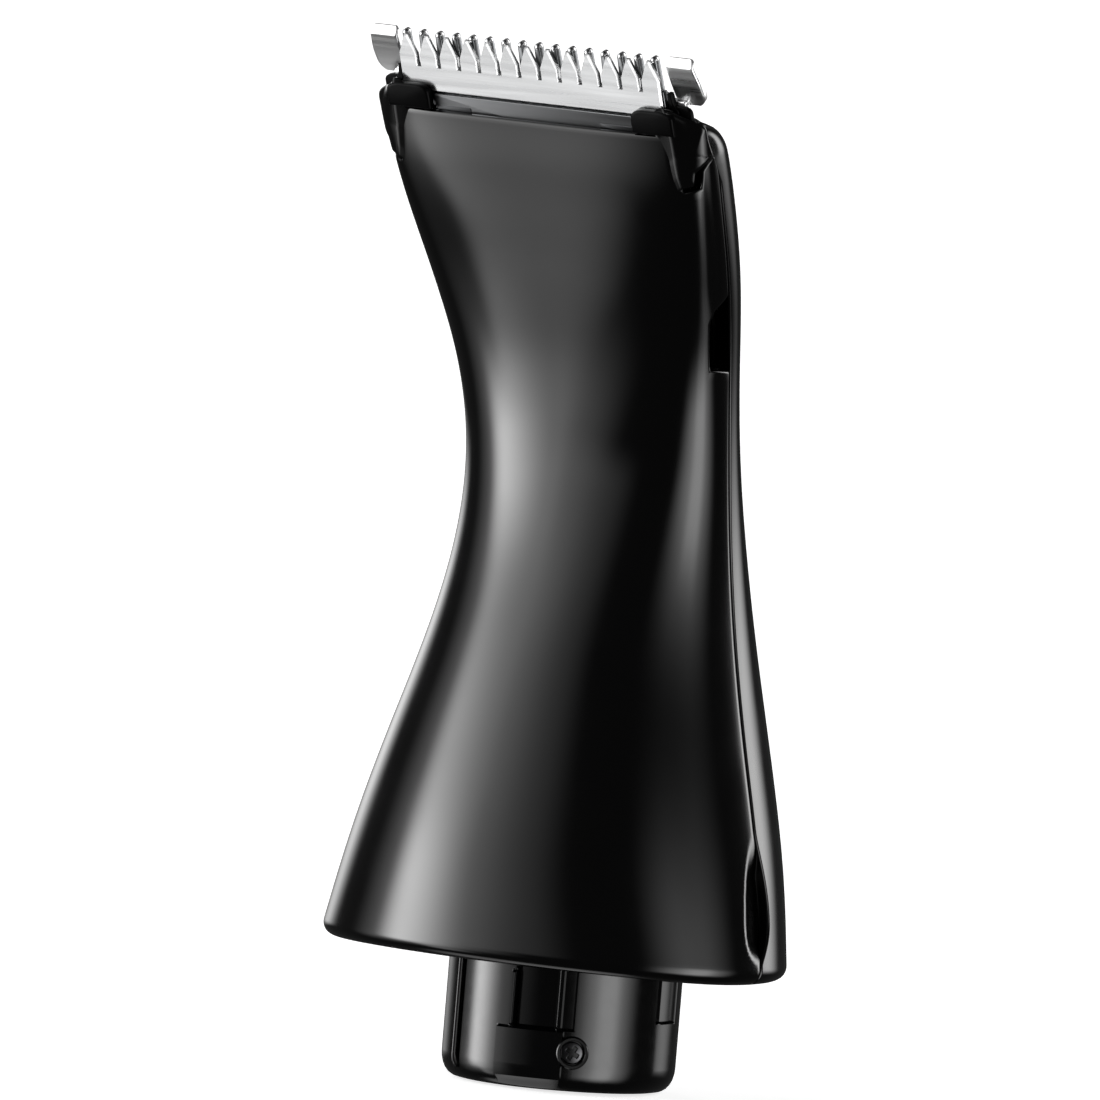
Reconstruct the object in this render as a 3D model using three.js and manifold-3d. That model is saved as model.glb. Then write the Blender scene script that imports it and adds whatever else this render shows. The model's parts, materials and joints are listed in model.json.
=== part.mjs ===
// Body groomer attachment head, in millimetres.
// The origin is the centre of the coupling plug's end face. +Z runs up the plug's axis,
// the blade leans towards -Y (the front), and +X is on the right of a person facing the front.
import * as THREE from 'three';
import { mergeVertices } from 'three/addons/utils/BufferGeometryUtils.js';
import { LoftGeometry } from 'three/addons/geometries/LoftGeometry.js';
import Module from 'manifold-3d';

const wasm = await Module();
wasm.setup();

// ---------------------------------------------------------------- driving dimensions

// Housing stations: height, half width, seam position, depth in front of the seam,
// depth behind it, and how square each half of the section is (2 is an ellipse).
const STATIONS = [
	[ 11.3, 22.4, - 2.3, 15.4, 16.0, 2.05, 2.05 ],
	[ 20.0, 20.5, - 1.2, 16.0, 15.1, 2.05, 2.05 ],
	[ 30.0, 17.7, - 0.5, 14.45, 13.7, 2.1, 2.1 ],
	[ 40.0, 15.0, 0.2, 12.1, 11.0, 2.15, 2.2 ],
	[ 48.0, 13.7, 0.2, 9.6, 8.6, 2.25, 2.3 ],
	[ 56.0, 13.4, - 0.7, 7.65, 6.5, 2.4, 2.4 ],
	[ 64.0, 14.1, - 2.8, 6.5, 6.2, 2.8, 2.4 ],
	[ 72.0, 15.6, - 6.3, 5.5, 7.2, 3.4, 2.4 ],
	[ 80.0, 16.9, - 10.5, 4.3, 7.7, 4.0, 2.4 ],
	[ 86.0, 17.4, - 13.4, 3.0, 6.6, 4.5, 2.4 ],
	[ 92.0, 17.4, - 17.0, 2.0, 5.0, 4.5, 2.4 ],
];
const AROUND = 44;
const RING_STEP = 4.5;
const RIM_Z = STATIONS[ 0 ][ 0 ];
const LOFT_TOP_Z = 91;
const WALL = 1.4;
const SEAM_GAP = 0.3;
const FIT_GAP = 0.35;

// Top of the housing: a plane through the lip that rises towards the back.
const LIP = { y: - 16.15, z: 84.4, tilt: 18 };

// Blade frame: its origin is the middle of the comb's row of tips, local Z runs up the teeth.
const BLADE = { y: - 17.15, z: 91.5, lean: 22 };

// Fixed comb and moving cutter
const COMB_TEETH = 16;
const COMB_PITCH = 1.77;
const COMB_HALF_THICKNESS = 0.35;
const COMB_ROOT_Z = - 3.2;
const CUTTER_TEETH = 13;
const CUTTER_PITCH = 2.16;
const CUTTER_FRONT = - 0.85;
const CUTTER_BACK = - 0.4;
const CUTTER_BOTTOM_Z = - 5.4;
const STROKE = 1.0;
const NECK_HALF = 2.6;
const COMB_SCREW = { x: 8.5, z: - 8.6 };

// Coupling plug
const PLUG_R = 10.3;
const PLUG_BORE_R = 7.8;
const PLUG_CHAMFER = 1.3;
const FLANGE = { bottom: 12.6, top: 14.6 };
const SLEEVE = { outer: 7.4, inner: 5.9, bottom: 1.2, top: 9.0 };
const PLUG_SCREW = { azimuth: 41.2, z: 3.5 };
const BASE_SCREW = { x: 14.5, frontY: - 9.0, rearY: 5.5, postTop: 29, holeTop: 23.6 };

// Drive lever, which rocks on a pin along Y
const PIVOT_Z = 40;
const PIN_R = 1.5;
const LEVER_HALF_WIDTH = 2.4;
const LEVER_THICKNESS = 3.0;
const LEVER_ROUTE = [ [ 0, 9.5 ], [ 0, 28 ], [ 0, 46 ], [ - 0.9, 56 ], [ - 3.4, 65 ],
	[ - 7.0, 73.5 ], [ - 10.0, 79.5 ] ];
const FINGER = { r: 1.0, y: 2.1, bottom: - 14.6, top: - 6.4 };

// ---------------------------------------------------------------- solids from geometries

function solid( geometry ) {

	geometry.deleteAttribute( 'normal' );
	geometry.deleteAttribute( 'uv' );
	const merged = mergeVertices( new THREE.BufferGeometry().copy( geometry ), 1e-4 );
	const triVerts = Uint32Array.from( merged.index.array );
	const vertProperties = Float32Array.from( merged.attributes.position.array );
	return new wasm.Manifold( new wasm.Mesh( { numProp: 3, vertProperties, triVerts } ) );

}

function join( first, ...others ) {

	return others.reduce( ( sum, next ) => sum.add( next ), first );

}

function cut( first, ...others ) {

	return others.reduce( ( rest, next ) => rest.subtract( next ), first );

}

// A box between two values on each axis.
function box( x0, x1, y0, y1, z0, z1 ) {

	const geometry = new THREE.BoxGeometry( x1 - x0, y1 - y0, z1 - z0 );
	geometry.translate( ( x0 + x1 ) / 2, ( y0 + y1 ) / 2, ( z0 + z1 ) / 2 );
	return solid( geometry );

}

// A round bar from one point to another.
function rod( radius, from, to, sides = 24 ) {

	const start = new THREE.Vector3( ...from );
	const end = new THREE.Vector3( ...to );
	const geometry = new THREE.CylinderGeometry( radius, radius, start.distanceTo( end ), sides );
	const direction = end.clone().sub( start ).normalize();
	const upright = new THREE.Vector3( 0, 1, 0 );
	geometry.applyQuaternion( new THREE.Quaternion().setFromUnitVectors( upright, direction ) );
	const middle = start.add( end ).multiplyScalar( 0.5 );
	geometry.translate( middle.x, middle.y, middle.z );
	return solid( geometry );

}

function outline( points ) {

	return new THREE.Shape( points.map( ( [ a, b ] ) => new THREE.Vector2( a, b ) ) );

}

// An outline in Y and Z, given thickness along X.
function sideProfile( shape, x0, x1 ) {

	const geometry = new THREE.ExtrudeGeometry( shape, { depth: x1 - x0, bevelEnabled: false, curveSegments: 8 } );
	const turn = new THREE.Matrix4().makeBasis(
		new THREE.Vector3( 0, 1, 0 ), new THREE.Vector3( 0, 0, 1 ), new THREE.Vector3( 1, 0, 0 ) );
	geometry.applyMatrix4( turn );
	geometry.translate( x0, 0, 0 );
	return solid( geometry );

}

// An outline in X and Z, given thickness along Y.
function frontProfile( shape, y0, y1 ) {

	const geometry = new THREE.ExtrudeGeometry( shape, { depth: y1 - y0, bevelEnabled: false, curveSegments: 5 } );
	geometry.rotateX( Math.PI / 2 );
	geometry.translate( 0, y1, 0 );
	return solid( geometry );

}

// An outline in X and Y, given height along Z.
function planProfile( shape, z0, z1, curveSegments = 10 ) {

	const geometry = new THREE.ExtrudeGeometry( shape, { depth: z1 - z0, bevelEnabled: false, curveSegments } );
	geometry.translate( 0, 0, z0 );
	return solid( geometry );

}

function mirrored( piece ) {

	return piece.mirror( [ 1, 0, 0 ] );

}

// ---------------------------------------------------------------- housing surface

// One column of STATIONS at a height, as a smooth curve through the stations.
function station( column, z ) {

	const last = STATIONS.length - 2;
	const above = STATIONS.findIndex( ( row ) => row[ 0 ] > z );
	const i = above < 0 ? last : Math.min( Math.max( above - 1, 0 ), last );
	const slope = ( k ) => {

		const before = STATIONS[ Math.max( k - 1, 0 ) ];
		const after = STATIONS[ Math.min( k + 1, last + 1 ) ];
		return ( after[ column ] - before[ column ] ) / ( after[ 0 ] - before[ 0 ] );

	};

	const span = STATIONS[ i + 1 ][ 0 ] - STATIONS[ i ][ 0 ];
	const t = ( z - STATIONS[ i ][ 0 ] ) / span;
	const startWeight = 1 - 3 * t ** 2 + 2 * t ** 3;
	return startWeight * STATIONS[ i ][ column ] + ( 1 - startWeight ) * STATIONS[ i + 1 ][ column ]
		+ span * slope( i ) * ( t - 2 * t ** 2 + t ** 3 ) + span * slope( i + 1 ) * ( t ** 3 - t ** 2 );

}

// A point of the housing's surface, moved inwards by inset. Angle 0 is the right seam.
function housingPoint( z, angle, inset ) {

	const c = Math.cos( angle );
	const s = Math.sin( angle );
	const depth = station( s < 0 ? 3 : 4, z ) - inset;
	const power = 2 / station( s < 0 ? 5 : 6, z );
	const x = ( station( 1, z ) - inset ) * Math.sign( c ) * Math.abs( c ) ** power;
	const y = station( 2, z ) + depth * Math.sign( s ) * Math.abs( s ) ** power;
	return new THREE.Vector3( x, y, z );

}

function housingLoft( inset, bottom, top ) {

	const rings = Math.max( 1, Math.round( ( top - bottom ) / RING_STEP ) );
	const sections = [];
	for ( let i = 0; i <= rings; i ++ ) {

		const z = bottom + ( top - bottom ) * i / rings;
		const ring = [];
		for ( let j = 0; j < AROUND; j ++ ) ring.push( housingPoint( z, 2 * Math.PI * j / AROUND, inset ) );
		sections.push( ring );

	}

	return solid( new LoftGeometry( sections, { capStart: true, capEnd: true } ) );

}

// Everything in front of the seam, or behind it, with half the seam's gap taken off.
function seamSide( side ) {

	const reach = 40;
	const points = [ [ side * reach, LOFT_TOP_Z + 4 ], [ side * reach, RIM_Z - 4 ] ];
	for ( let z = RIM_Z - 4; z <= LOFT_TOP_Z + 4; z += 4 ) {

		points.push( [ station( 2, Math.max( z, RIM_Z ) ) + side * SEAM_GAP / 2, z ] );

	}

	return sideProfile( outline( points ), - reach, reach );

}

// Turns a solid made in the blade frame into the object's frame.
function fromBladeFrame( piece ) {

	return piece.rotate( [ BLADE.lean, 0, 0 ] ).translate( [ 0, BLADE.y, BLADE.z ] );

}

// The space that an ear fills at the side of the head, grown by a clearance.
function earSpace( clearance ) {

	const g = clearance;
	const side = outline( [ [ - 5, 3 ], [ - 5, - 9 - g ], [ - 1.2, - 12.2 - g ], [ 0.1 + g, - 11.8 - g ],
		[ 1.3 + g, - 9.7 ], [ 1.3 + g, 3 ] ] );
	const right = sideProfile( side, 14.3 - g, 20 );
	return fromBladeFrame( join( right, mirrored( right ) ) );

}

function aboveLip() {

	const geometry = new THREE.BoxGeometry( 80, 80, 40 );
	geometry.translate( 0, 0, 20 );
	geometry.rotateX( THREE.MathUtils.degToRad( LIP.tilt ) );
	geometry.translate( 0, LIP.y, LIP.z );
	return solid( geometry );

}

const outerHousing = housingLoft( 0, RIM_Z, LOFT_TOP_Z );

function hollowHousing() {

	const innerHousing = housingLoft( WALL, RIM_Z - 0.01, LOFT_TOP_Z + 0.5 );
	return cut( outerHousing, innerHousing, aboveLip(), earSpace( FIT_GAP ) );

}

// A boss that stands on the inside of the wall, kept below the outer surface.
function boss( radius, from, to ) {

	return rod( radius, from, to, 20 ).intersect( housingLoft( WALL / 2, RIM_Z, LOFT_TOP_Z ) );

}

// The pair of posts that the base screws run up into, and the holes in them.
function baseScrewPosts( y ) {

	return join( ...[ - 1, 1 ].map( ( side ) => boss( 2.3,
		[ side * BASE_SCREW.x, y, FLANGE.top + FIT_GAP ], [ side * BASE_SCREW.x, y, BASE_SCREW.postTop ] ) ) );

}

function baseScrewHoles( y ) {

	return join( ...[ - 1, 1 ].map( ( side ) => rod( 0.95,
		[ side * BASE_SCREW.x, y, FLANGE.top ], [ side * BASE_SCREW.x, y, BASE_SCREW.holeTop ], 16 ) ) );

}

// A post for one end of the pivot pin, with a blind hole in its face.
function pivotBoss( yFace, yEnd, yHole ) {

	const post = boss( 3.2, [ 0, yFace, PIVOT_Z ], [ 0, yEnd, PIVOT_Z ] );
	return cut( post, rod( PIN_R + 0.15, [ 0, yFace * 0.9, PIVOT_Z ], [ 0, yHole, PIVOT_Z ], 20 ) );

}

// Window beside the seam for the latch of a guide comb.
function latchNotch() {

	const side = outline( [ [ - 7.5, 69.4 ], [ - 5.3, 64.1 ], [ - 1.5, 64.1 ],
		[ - 4.5, 70.8 ], [ - 5.6, 70.8 ] ] );
	const right = sideProfile( side, 11.5, 20 );
	return join( right, mirrored( right ) );

}

// Fingernail scoop across the seam, just above the rim.
function nailScoop() {

	const geometry = new THREE.SphereGeometry( 1, 16, 12 );
	geometry.scale( 0.9, 1.7, 5.6 );
	geometry.rotateY( THREE.MathUtils.degToRad( - 13.5 ) );
	geometry.translate( 21.3, - 1.2, 18.3 );
	const right = solid( geometry );
	return join( right, mirrored( right ) );

}

function frontShell() {

	const lipRebate = fromBladeFrame( box( - 14.5, 14.5, - 1.25, 3, - 12.6, - 4 ) );
	const bosses = join( baseScrewPosts( BASE_SCREW.frontY ), pivotBoss( - 3.5, - 13, - 9.6 ) );
	const half = cut( hollowHousing().intersect( seamSide( - 1 ) ), lipRebate, latchNotch(), nailScoop() );
	return cut( join( half, bosses ), baseScrewHoles( BASE_SCREW.frontY ) );

}

function rearShell() {

	const bosses = join( baseScrewPosts( BASE_SCREW.rearY ), pivotBoss( 3.5, 12, 8.6 ) );
	const half = cut( hollowHousing().intersect( seamSide( 1 ) ), nailScoop() );
	return cut( join( half, bosses ), baseScrewHoles( BASE_SCREW.rearY ) );

}

// ---------------------------------------------------------------- coupling plug

// A point on a circle about Z. Azimuth 0 is the front, and it grows towards +X.
function around( radius, azimuth, z ) {

	const a = THREE.MathUtils.degToRad( azimuth );
	return [ radius * Math.sin( a ), - radius * Math.cos( a ), z ];

}

// Part of a ring between two azimuths and two heights.
function ringSector( inner, outer, from, to, z0, z1 ) {

	const start = THREE.MathUtils.degToRad( from - 90 );
	const end = THREE.MathUtils.degToRad( to - 90 );
	const shape = new THREE.Shape();
	shape.absarc( 0, 0, outer, start, end, false );
	shape.absarc( 0, 0, inner, end, start, true );
	return planProfile( shape, z0, z1, 6 );

}

function couplingPlug() {

	const side = [ [ 0, 0 ], [ PLUG_R - PLUG_CHAMFER, 0 ], [ PLUG_R, 1.9 ], [ PLUG_R, 13.4 ], [ 0, 13.4 ] ];
	const body = solid( new THREE.LatheGeometry( side.map( ( [ r, z ] ) => new THREE.Vector2( r, z ) ), 48 )
		.rotateX( Math.PI / 2 ) );
	const flange = housingLoft( WALL + FIT_GAP, FLANGE.bottom, FLANGE.top );
	const pad = ringSector( PLUG_R - 0.5, PLUG_R + 0.35, 2.5, 36.2, 0.9, 5.35 );
	const screwAxis = ( radius ) => around( radius, PLUG_SCREW.azimuth, PLUG_SCREW.z );
	const screwBoss = rod( 1.45, screwAxis( 9 ), screwAxis( PLUG_R + 0.45 ), 20 );
	const bores = [
		rod( PLUG_BORE_R, [ 0, 0, - 1 ], [ 0, 0, 10.8 ], 40 ),
		rod( 6.6, [ 0, 0, 10 ], [ 0, 0, 16 ], 32 ),
		rod( 0.8, screwAxis( 6 ), screwAxis( 12 ), 16 ),
		rod( 1.2, screwAxis( 9.9 ), screwAxis( 12 ), 16 ),
	];
	const grooves = [
		ringSector( PLUG_R - 0.9, PLUG_R + 1, - 29, - 22, - 1, FLANGE.bottom ),
		ringSector( PLUG_R - 0.8, PLUG_R + 1, 9.5, 12.5, 5.5, FLANGE.bottom ),
		ringSector( PLUG_R - 0.8, PLUG_R + 1, 32.5, 35.5, 5.5, FLANGE.bottom ),
		ringSector( PLUG_R - 0.9, PLUG_R + 1, 89, 104, 6.4, FLANGE.bottom ),
		ringSector( PLUG_R - 0.9, PLUG_R + 1, 151, 158, - 1, FLANGE.bottom ),
		ringSector( PLUG_R - 0.9, PLUG_R + 1, 205, 220, 6.4, FLANGE.bottom ),
	];
	const screwPlaces = [ - 1, 1 ].flatMap( ( side ) => [ BASE_SCREW.frontY, BASE_SCREW.rearY ]
		.map( ( y ) => [ side * BASE_SCREW.x, y ] ) );
	const screwHoles = screwPlaces.map( ( [ x, y ] ) => join(
		rod( 1.0, [ x, y, 12 ], [ x, y, 16 ], 16 ),
		rod( 2.0, [ x, y, 12 ], [ x, y, FLANGE.bottom + 1 ], 20 ) ) );
	return cut( join( body, flange, pad, screwBoss ), ...bores, ...grooves, ...screwHoles );

}

function spindleGuide() {

	const { outer, inner, bottom, top } = SLEEVE;
	const screwHole = rod( 0.8, around( 3, PLUG_SCREW.azimuth, PLUG_SCREW.z ),
		around( 9, PLUG_SCREW.azimuth, PLUG_SCREW.z ), 16 );
	const leadIn = new THREE.CylinderGeometry( inner, inner + 0.8, 0.8, 32 ).rotateX( Math.PI / 2 )
		.translate( 0, 0, bottom + 0.39 );
	return cut( rod( outer, [ 0, 0, bottom ], [ 0, 0, top ], 32 ),
		rod( inner, [ 0, 0, bottom - 1 ], [ 0, 0, top + 1 ], 32 ), solid( leadIn ), screwHole );

}

function crossScrew( headR, headHeight, shankR, length ) {

	const head = rod( headR, [ 0, 0, 0 ], [ 0, 0, - headHeight ], 16 );
	const shank = rod( shankR, [ 0, 0, - headHeight / 2 ], [ 0, 0, - headHeight - length ], 12 );
	const arm = headR * 0.62;
	const slot = 0.18 * headR;
	const cross = join( box( - arm, arm, - slot, slot, - headHeight * 0.5, 1 ),
		box( - slot, slot, - arm, arm, - headHeight * 0.5, 1 ) );
	return cut( join( head, shank ), cross );

}

// A screw whose head faces out of the plug's side.
function plugScrew() {

	const { azimuth, z } = PLUG_SCREW;
	return crossScrew( 1.05, 0.7, 0.6, 3.4 )
		.rotate( [ 90, 0, 0 ] )
		.rotate( [ 0, 0, azimuth ] )
		.translate( around( PLUG_R + 0.35, azimuth, z ) );

}

function baseScrew( x, y ) {

	return crossScrew( 1.7, 0.9, 0.75, 8.5 ).rotate( [ 180, 0, 0 ] ).translate( [ x, y, FLANGE.bottom ] );

}

// ---------------------------------------------------------------- drive lever

function leverOutline() {

	const route = new THREE.SplineCurve( LEVER_ROUTE.map( ( [ y, z ] ) => new THREE.Vector2( y, z ) ) );
	const steps = 18;
	const sideOf = ( sign ) => Array.from( { length: steps + 1 }, ( _, i ) => {

		const point = route.getPoint( i / steps );
		const along = route.getTangent( i / steps );
		const half = sign * LEVER_THICKNESS / 2;
		return [ point.x + along.y * half, point.y - along.x * half ];

	} );
	return outline( [ ...sideOf( 1 ), ...sideOf( - 1 ).reverse() ] );

}

function driveLever() {

	const arm = sideProfile( leverOutline(), - LEVER_HALF_WIDTH, LEVER_HALF_WIDTH );
	const hub = rod( 4.2, [ 0, - 2.6, PIVOT_Z ], [ 0, 2.6, PIVOT_Z ], 32 );
	const fork = box( - 3.6, 3.6, - LEVER_THICKNESS / 2, LEVER_THICKNESS / 2, 9.5, 17 );
	const forkSlot = box( - 1.8, 1.8, - 4, 4, 8, 14.5 );
	const socket = fromBladeFrame( rod( 2.3, [ 0, FINGER.y, - 15.6 ], [ 0, FINGER.y, - 13.1 ], 20 ) );
	const fingerHole = fromBladeFrame( rod( FINGER.r + 0.1, [ 0, FINGER.y, FINGER.bottom - 0.1 ],
		[ 0, FINGER.y, - 10 ], 20 ) );
	const bore = rod( 2.6, [ 0, - 4, PIVOT_Z ], [ 0, 4, PIVOT_Z ], 28 );
	return cut( join( arm, hub, fork, socket ), forkSlot, fingerHole, bore );

}

// A round ring about the lever's pivot axis.
function pivotRing( outer, inner, y0, y1 ) {

	return cut( rod( outer, [ 0, y0, PIVOT_Z ], [ 0, y1, PIVOT_Z ], 28 ),
		rod( inner, [ 0, y0 - 1, PIVOT_Z ], [ 0, y1 + 1, PIVOT_Z ], 28 ) );

}

function driveFinger() {

	return fromBladeFrame( rod( FINGER.r, [ 0, FINGER.y, FINGER.bottom ], [ 0, FINGER.y, FINGER.top ], 20 ) );

}

function dustSeal() {

	const plate = housingLoft( WALL + FIT_GAP, 70.5, 72 );
	return cut( plate, box( - 3.7, 3.7, - 8.5, - 3.6, 69, 74 ) );

}

// ---------------------------------------------------------------- blade cartridge

function toothRow( count, pitch, make ) {

	return Array.from( { length: count }, ( _, i ) => make( ( i - ( count - 1 ) / 2 ) * pitch ) );

}

function combTooth( x ) {

	const tipR = 0.3;
	const rootHalf = 0.42;
	const shape = new THREE.Shape();
	shape.moveTo( x - rootHalf, COMB_ROOT_Z - 0.3 );
	shape.lineTo( x + rootHalf, COMB_ROOT_Z - 0.3 );
	shape.absarc( x, - tipR, tipR, 0, Math.PI, false );
	return frontProfile( shape, - COMB_HALF_THICKNESS, COMB_HALF_THICKNESS );

}

// A pair of holes for the comb screws, across the blade frame's Y from y0 to y1.
function combScrewHoles( radius, y0, y1 ) {

	return join( ...[ - 1, 1 ].map( ( side ) => rod( radius,
		[ side * COMB_SCREW.x, y0, COMB_SCREW.z ], [ side * COMB_SCREW.x, y1, COMB_SCREW.z ], 16 ) ) );

}

function endLobe() {

	const side = new THREE.Shape();
	side.moveTo( 0.1, 0.15 );
	side.quadraticCurveTo( - 0.15, - 1.6, 0.95, - 4.0 );
	side.lineTo( 1.9, - 3.7 );
	side.quadraticCurveTo( 1.0, - 1.8, 1.05, 0.1 );
	side.quadraticCurveTo( 0.6, 0.6, 0.1, 0.15 );
	const lobe = sideProfile( side, 14.65, 17.4 );
	return join( lobe, box( 13.5, 15.4, - COMB_HALF_THICKNESS, 1.2, - 4.9, - 3.2 ) );

}

function fixedComb() {

	const half = 13.9;
	const plate = box( - half, half, - COMB_HALF_THICKNESS, COMB_HALF_THICKNESS, - 10, COMB_ROOT_Z );
	const teeth = toothRow( COMB_TEETH, COMB_PITCH, combTooth );
	const windowHalf = NECK_HALF + STROKE + 0.5;
	const window = box( - windowHalf, windowHalf, - 2, 2, - 5.45, - 3.75 );
	const lobe = endLobe();
	const comb = join( plate, ...teeth, lobe, mirrored( lobe ) );
	return fromBladeFrame( cut( comb, window, combScrewHoles( 0.95, - 2, 2 ) ) );

}

// One pointed tooth with a narrow slot on each side of its foot.
function cutterTooth( x ) {

	const footHalf = CUTTER_PITCH / 2 - 0.14;
	const tooth = outline( [ [ x - footHalf, - 3.4 ], [ x + footHalf, - 3.4 ], [ x + footHalf, - 2.0 ],
		[ x + 0.2, - 0.25 ], [ x - 0.2, - 0.25 ], [ x - footHalf, - 2.0 ] ] );
	return frontProfile( tooth, CUTTER_FRONT, CUTTER_BACK );

}

function movingCutter() {

	const half = CUTTER_TEETH * CUTTER_PITCH / 2;
	const bar = box( - half, half, CUTTER_FRONT, CUTTER_BACK, CUTTER_BOTTOM_Z, - 3.03 );
	return fromBladeFrame( join( bar, ...toothRow( CUTTER_TEETH, CUTTER_PITCH, cutterTooth ) ) );

}

// The block behind the cutter: a neck through the comb's window and a fork for the finger.
function driveBlock() {

	const neck = box( - NECK_HALF, NECK_HALF, CUTTER_BACK + 0.07, 0.9, - 5.1, - 4.1 );
	const body = box( - 3.2, 3.2, 0.75, 3.5, - 9.6, - 4.0 );
	const slot = box( - FINGER.r - 0.2, FINGER.r + 0.2, 0, 5, - 11, - 6.0 );
	return fromBladeFrame( cut( join( neck, body ), slot ) );

}

function guidePlate() {

	const strip = box( - 10.5, 10.5, CUTTER_FRONT, - 0.45, - 9.8, CUTTER_BOTTOM_Z - 0.2 );
	return fromBladeFrame( cut( strip, combScrewHoles( 0.95, - 2, 2 ) ) );

}

function combScrew( side ) {

	const screw = crossScrew( 1.5, 0.8, 0.8, 4.2 ).rotate( [ - 90, 0, 0 ] );
	return fromBladeFrame( screw.translate( [ side * COMB_SCREW.x, 4.2, COMB_SCREW.z ] ) );

}

function carrierBlock() {

	const plan = new THREE.Shape();
	plan.moveTo( - 14.9, 0.65 );
	plan.lineTo( 14.9, 0.65 );
	plan.lineTo( 14.9, 1.7 );
	plan.quadraticCurveTo( 13.2, 4.2, 8, 4.6 );
	plan.lineTo( - 8, 4.6 );
	plan.quadraticCurveTo( - 13.2, 4.2, - 14.9, 1.7 );
	plan.lineTo( - 14.9, 0.65 );
	return planProfile( plan, - 12.5, - 7, 5 );

}

// A retaining post in front of one end of the cutter, tied back into the ear.
function carrierPost() {

	const face = outline( [ [ 10.8, - 6.75 ], [ 15.2, - 6.75 ], [ 15.2, - 5.6 ], [ 14.0, - 4.65 ],
		[ 11.6, - 4.65 ], [ 10.8, - 5.3 ] ] );
	return join( frontProfile( face, - 1.6, - 0.95 ), box( 14.2, 15.2, - 1.6, 0.9, - 9.6, - 5.6 ) );

}

// The room that the ends of the cutter need between the ears.
function cutterRun() {

	const half = CUTTER_TEETH * CUTTER_PITCH / 2 + STROKE + FIT_GAP;
	return fromBladeFrame( box( - half, half, CUTTER_FRONT - 0.1, CUTTER_BACK + 0.2, CUTTER_BOTTOM_Z - 0.2, 0 ) );

}

function bladeCarrier() {

	const wall = box( - 13.1, 13.1, 0.65, 1.6, - 7.5, - 3.9 );
	const post = carrierPost();
	const core = join( carrierBlock(), wall, post, mirrored( post ) );
	const slot = box( - 4.7, 4.7, 0, 3.9, - 13, - 3 );
	const screwHoles = [ combScrewHoles( 0.95, 0, 5 ), combScrewHoles( 1.7, 3.2, 6 ) ];
	const ears = earSpace( 0 ).intersect( housingLoft( 0.1, RIM_Z, LOFT_TOP_Z ) );
	const earTop = fromBladeFrame( box( - 20, 20, - 6, 6, - 5, 10 ) );
	return cut( join( fromBladeFrame( cut( core, slot, ...screwHoles ) ), cut( ears, earTop ) ), cutterRun() );

}

// ---------------------------------------------------------------- finishes and the assembly

const FINISHES = {
	gloss_black: { color: 0x0b0b0c, roughness: 0.14, metalness: 0 },
	satin_black: { color: 0x101011, roughness: 0.45, metalness: 0 },
	blade_steel: { color: 0xc9cbcc, roughness: 0.28, metalness: 1 },
	strip_steel: { color: 0x8c8e90, roughness: 0.4, metalness: 1 },
	screw_steel: { color: 0x5c5d60, roughness: 0.35, metalness: 1 },
	lever_plastic: { color: 0xe6e3da, roughness: 0.5, metalness: 0 },
	bush_brass: { color: 0xb5894a, roughness: 0.35, metalness: 1 },
	seal_rubber: { color: 0x1c1c1d, roughness: 0.85, metalness: 0 },
};

function mesh( name, piece, finish ) {

	const { vertProperties, triVerts } = piece.getMesh();
	const geometry = new THREE.BufferGeometry();
	geometry.setAttribute( 'position', new THREE.BufferAttribute( Float32Array.from( vertProperties ), 3 ) );
	geometry.setIndex( new THREE.BufferAttribute( Uint32Array.from( triVerts ), 1 ) );
	geometry.computeVertexNormals();
	const made = new THREE.Mesh( geometry, new THREE.MeshStandardMaterial( FINISHES[ finish ] ) );
	made.name = name;
	return made;

}

const groomerHead = new THREE.Group();

const housing = new THREE.Group();
housing.add(
	mesh( 'front_shell', frontShell(), 'gloss_black' ),
	mesh( 'rear_shell', rearShell(), 'gloss_black' ),
	mesh( 'coupling_plug', couplingPlug(), 'satin_black' ),
	mesh( 'spindle_guide', spindleGuide(), 'satin_black' ),
	mesh( 'plug_screw', plugScrew(), 'screw_steel' ),
	mesh( 'base_screw_front_left', baseScrew( - BASE_SCREW.x, BASE_SCREW.frontY ), 'screw_steel' ),
	mesh( 'base_screw_front_right', baseScrew( BASE_SCREW.x, BASE_SCREW.frontY ), 'screw_steel' ),
	mesh( 'base_screw_rear_left', baseScrew( - BASE_SCREW.x, BASE_SCREW.rearY ), 'screw_steel' ),
	mesh( 'base_screw_rear_right', baseScrew( BASE_SCREW.x, BASE_SCREW.rearY ), 'screw_steel' ),
	mesh( 'pivot_pin', rod( PIN_R, [ 0, - 9.3, PIVOT_Z ], [ 0, 8.3, PIVOT_Z ] ), 'screw_steel' ),
	mesh( 'washer_front', pivotRing( 3.2, 1.7, - 3.2, - 2.75 ), 'screw_steel' ),
	mesh( 'washer_rear', pivotRing( 3.2, 1.7, 2.75, 3.2 ), 'screw_steel' ),
	mesh( 'dust_seal', dustSeal(), 'seal_rubber' ),
);

const lever = new THREE.Group();
lever.add(
	mesh( 'drive_lever', driveLever(), 'lever_plastic' ),
	mesh( 'lever_bush', pivotRing( 2.45, PIN_R + 0.1, - 2.55, 2.55 ), 'bush_brass' ),
	mesh( 'drive_finger', driveFinger(), 'screw_steel' ),
);

const cartridge = new THREE.Group();
cartridge.add(
	mesh( 'blade_carrier', bladeCarrier(), 'satin_black' ),
	mesh( 'fixed_comb', fixedComb(), 'blade_steel' ),
	mesh( 'guide_plate', guidePlate(), 'strip_steel' ),
	mesh( 'comb_screw_left', combScrew( - 1 ), 'screw_steel' ),
	mesh( 'comb_screw_right', combScrew( 1 ), 'screw_steel' ),
);

const cutter = new THREE.Group();
cutter.add(
	mesh( 'moving_cutter', movingCutter(), 'blade_steel' ),
	mesh( 'drive_block', driveBlock(), 'lever_plastic' ),
);

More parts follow.
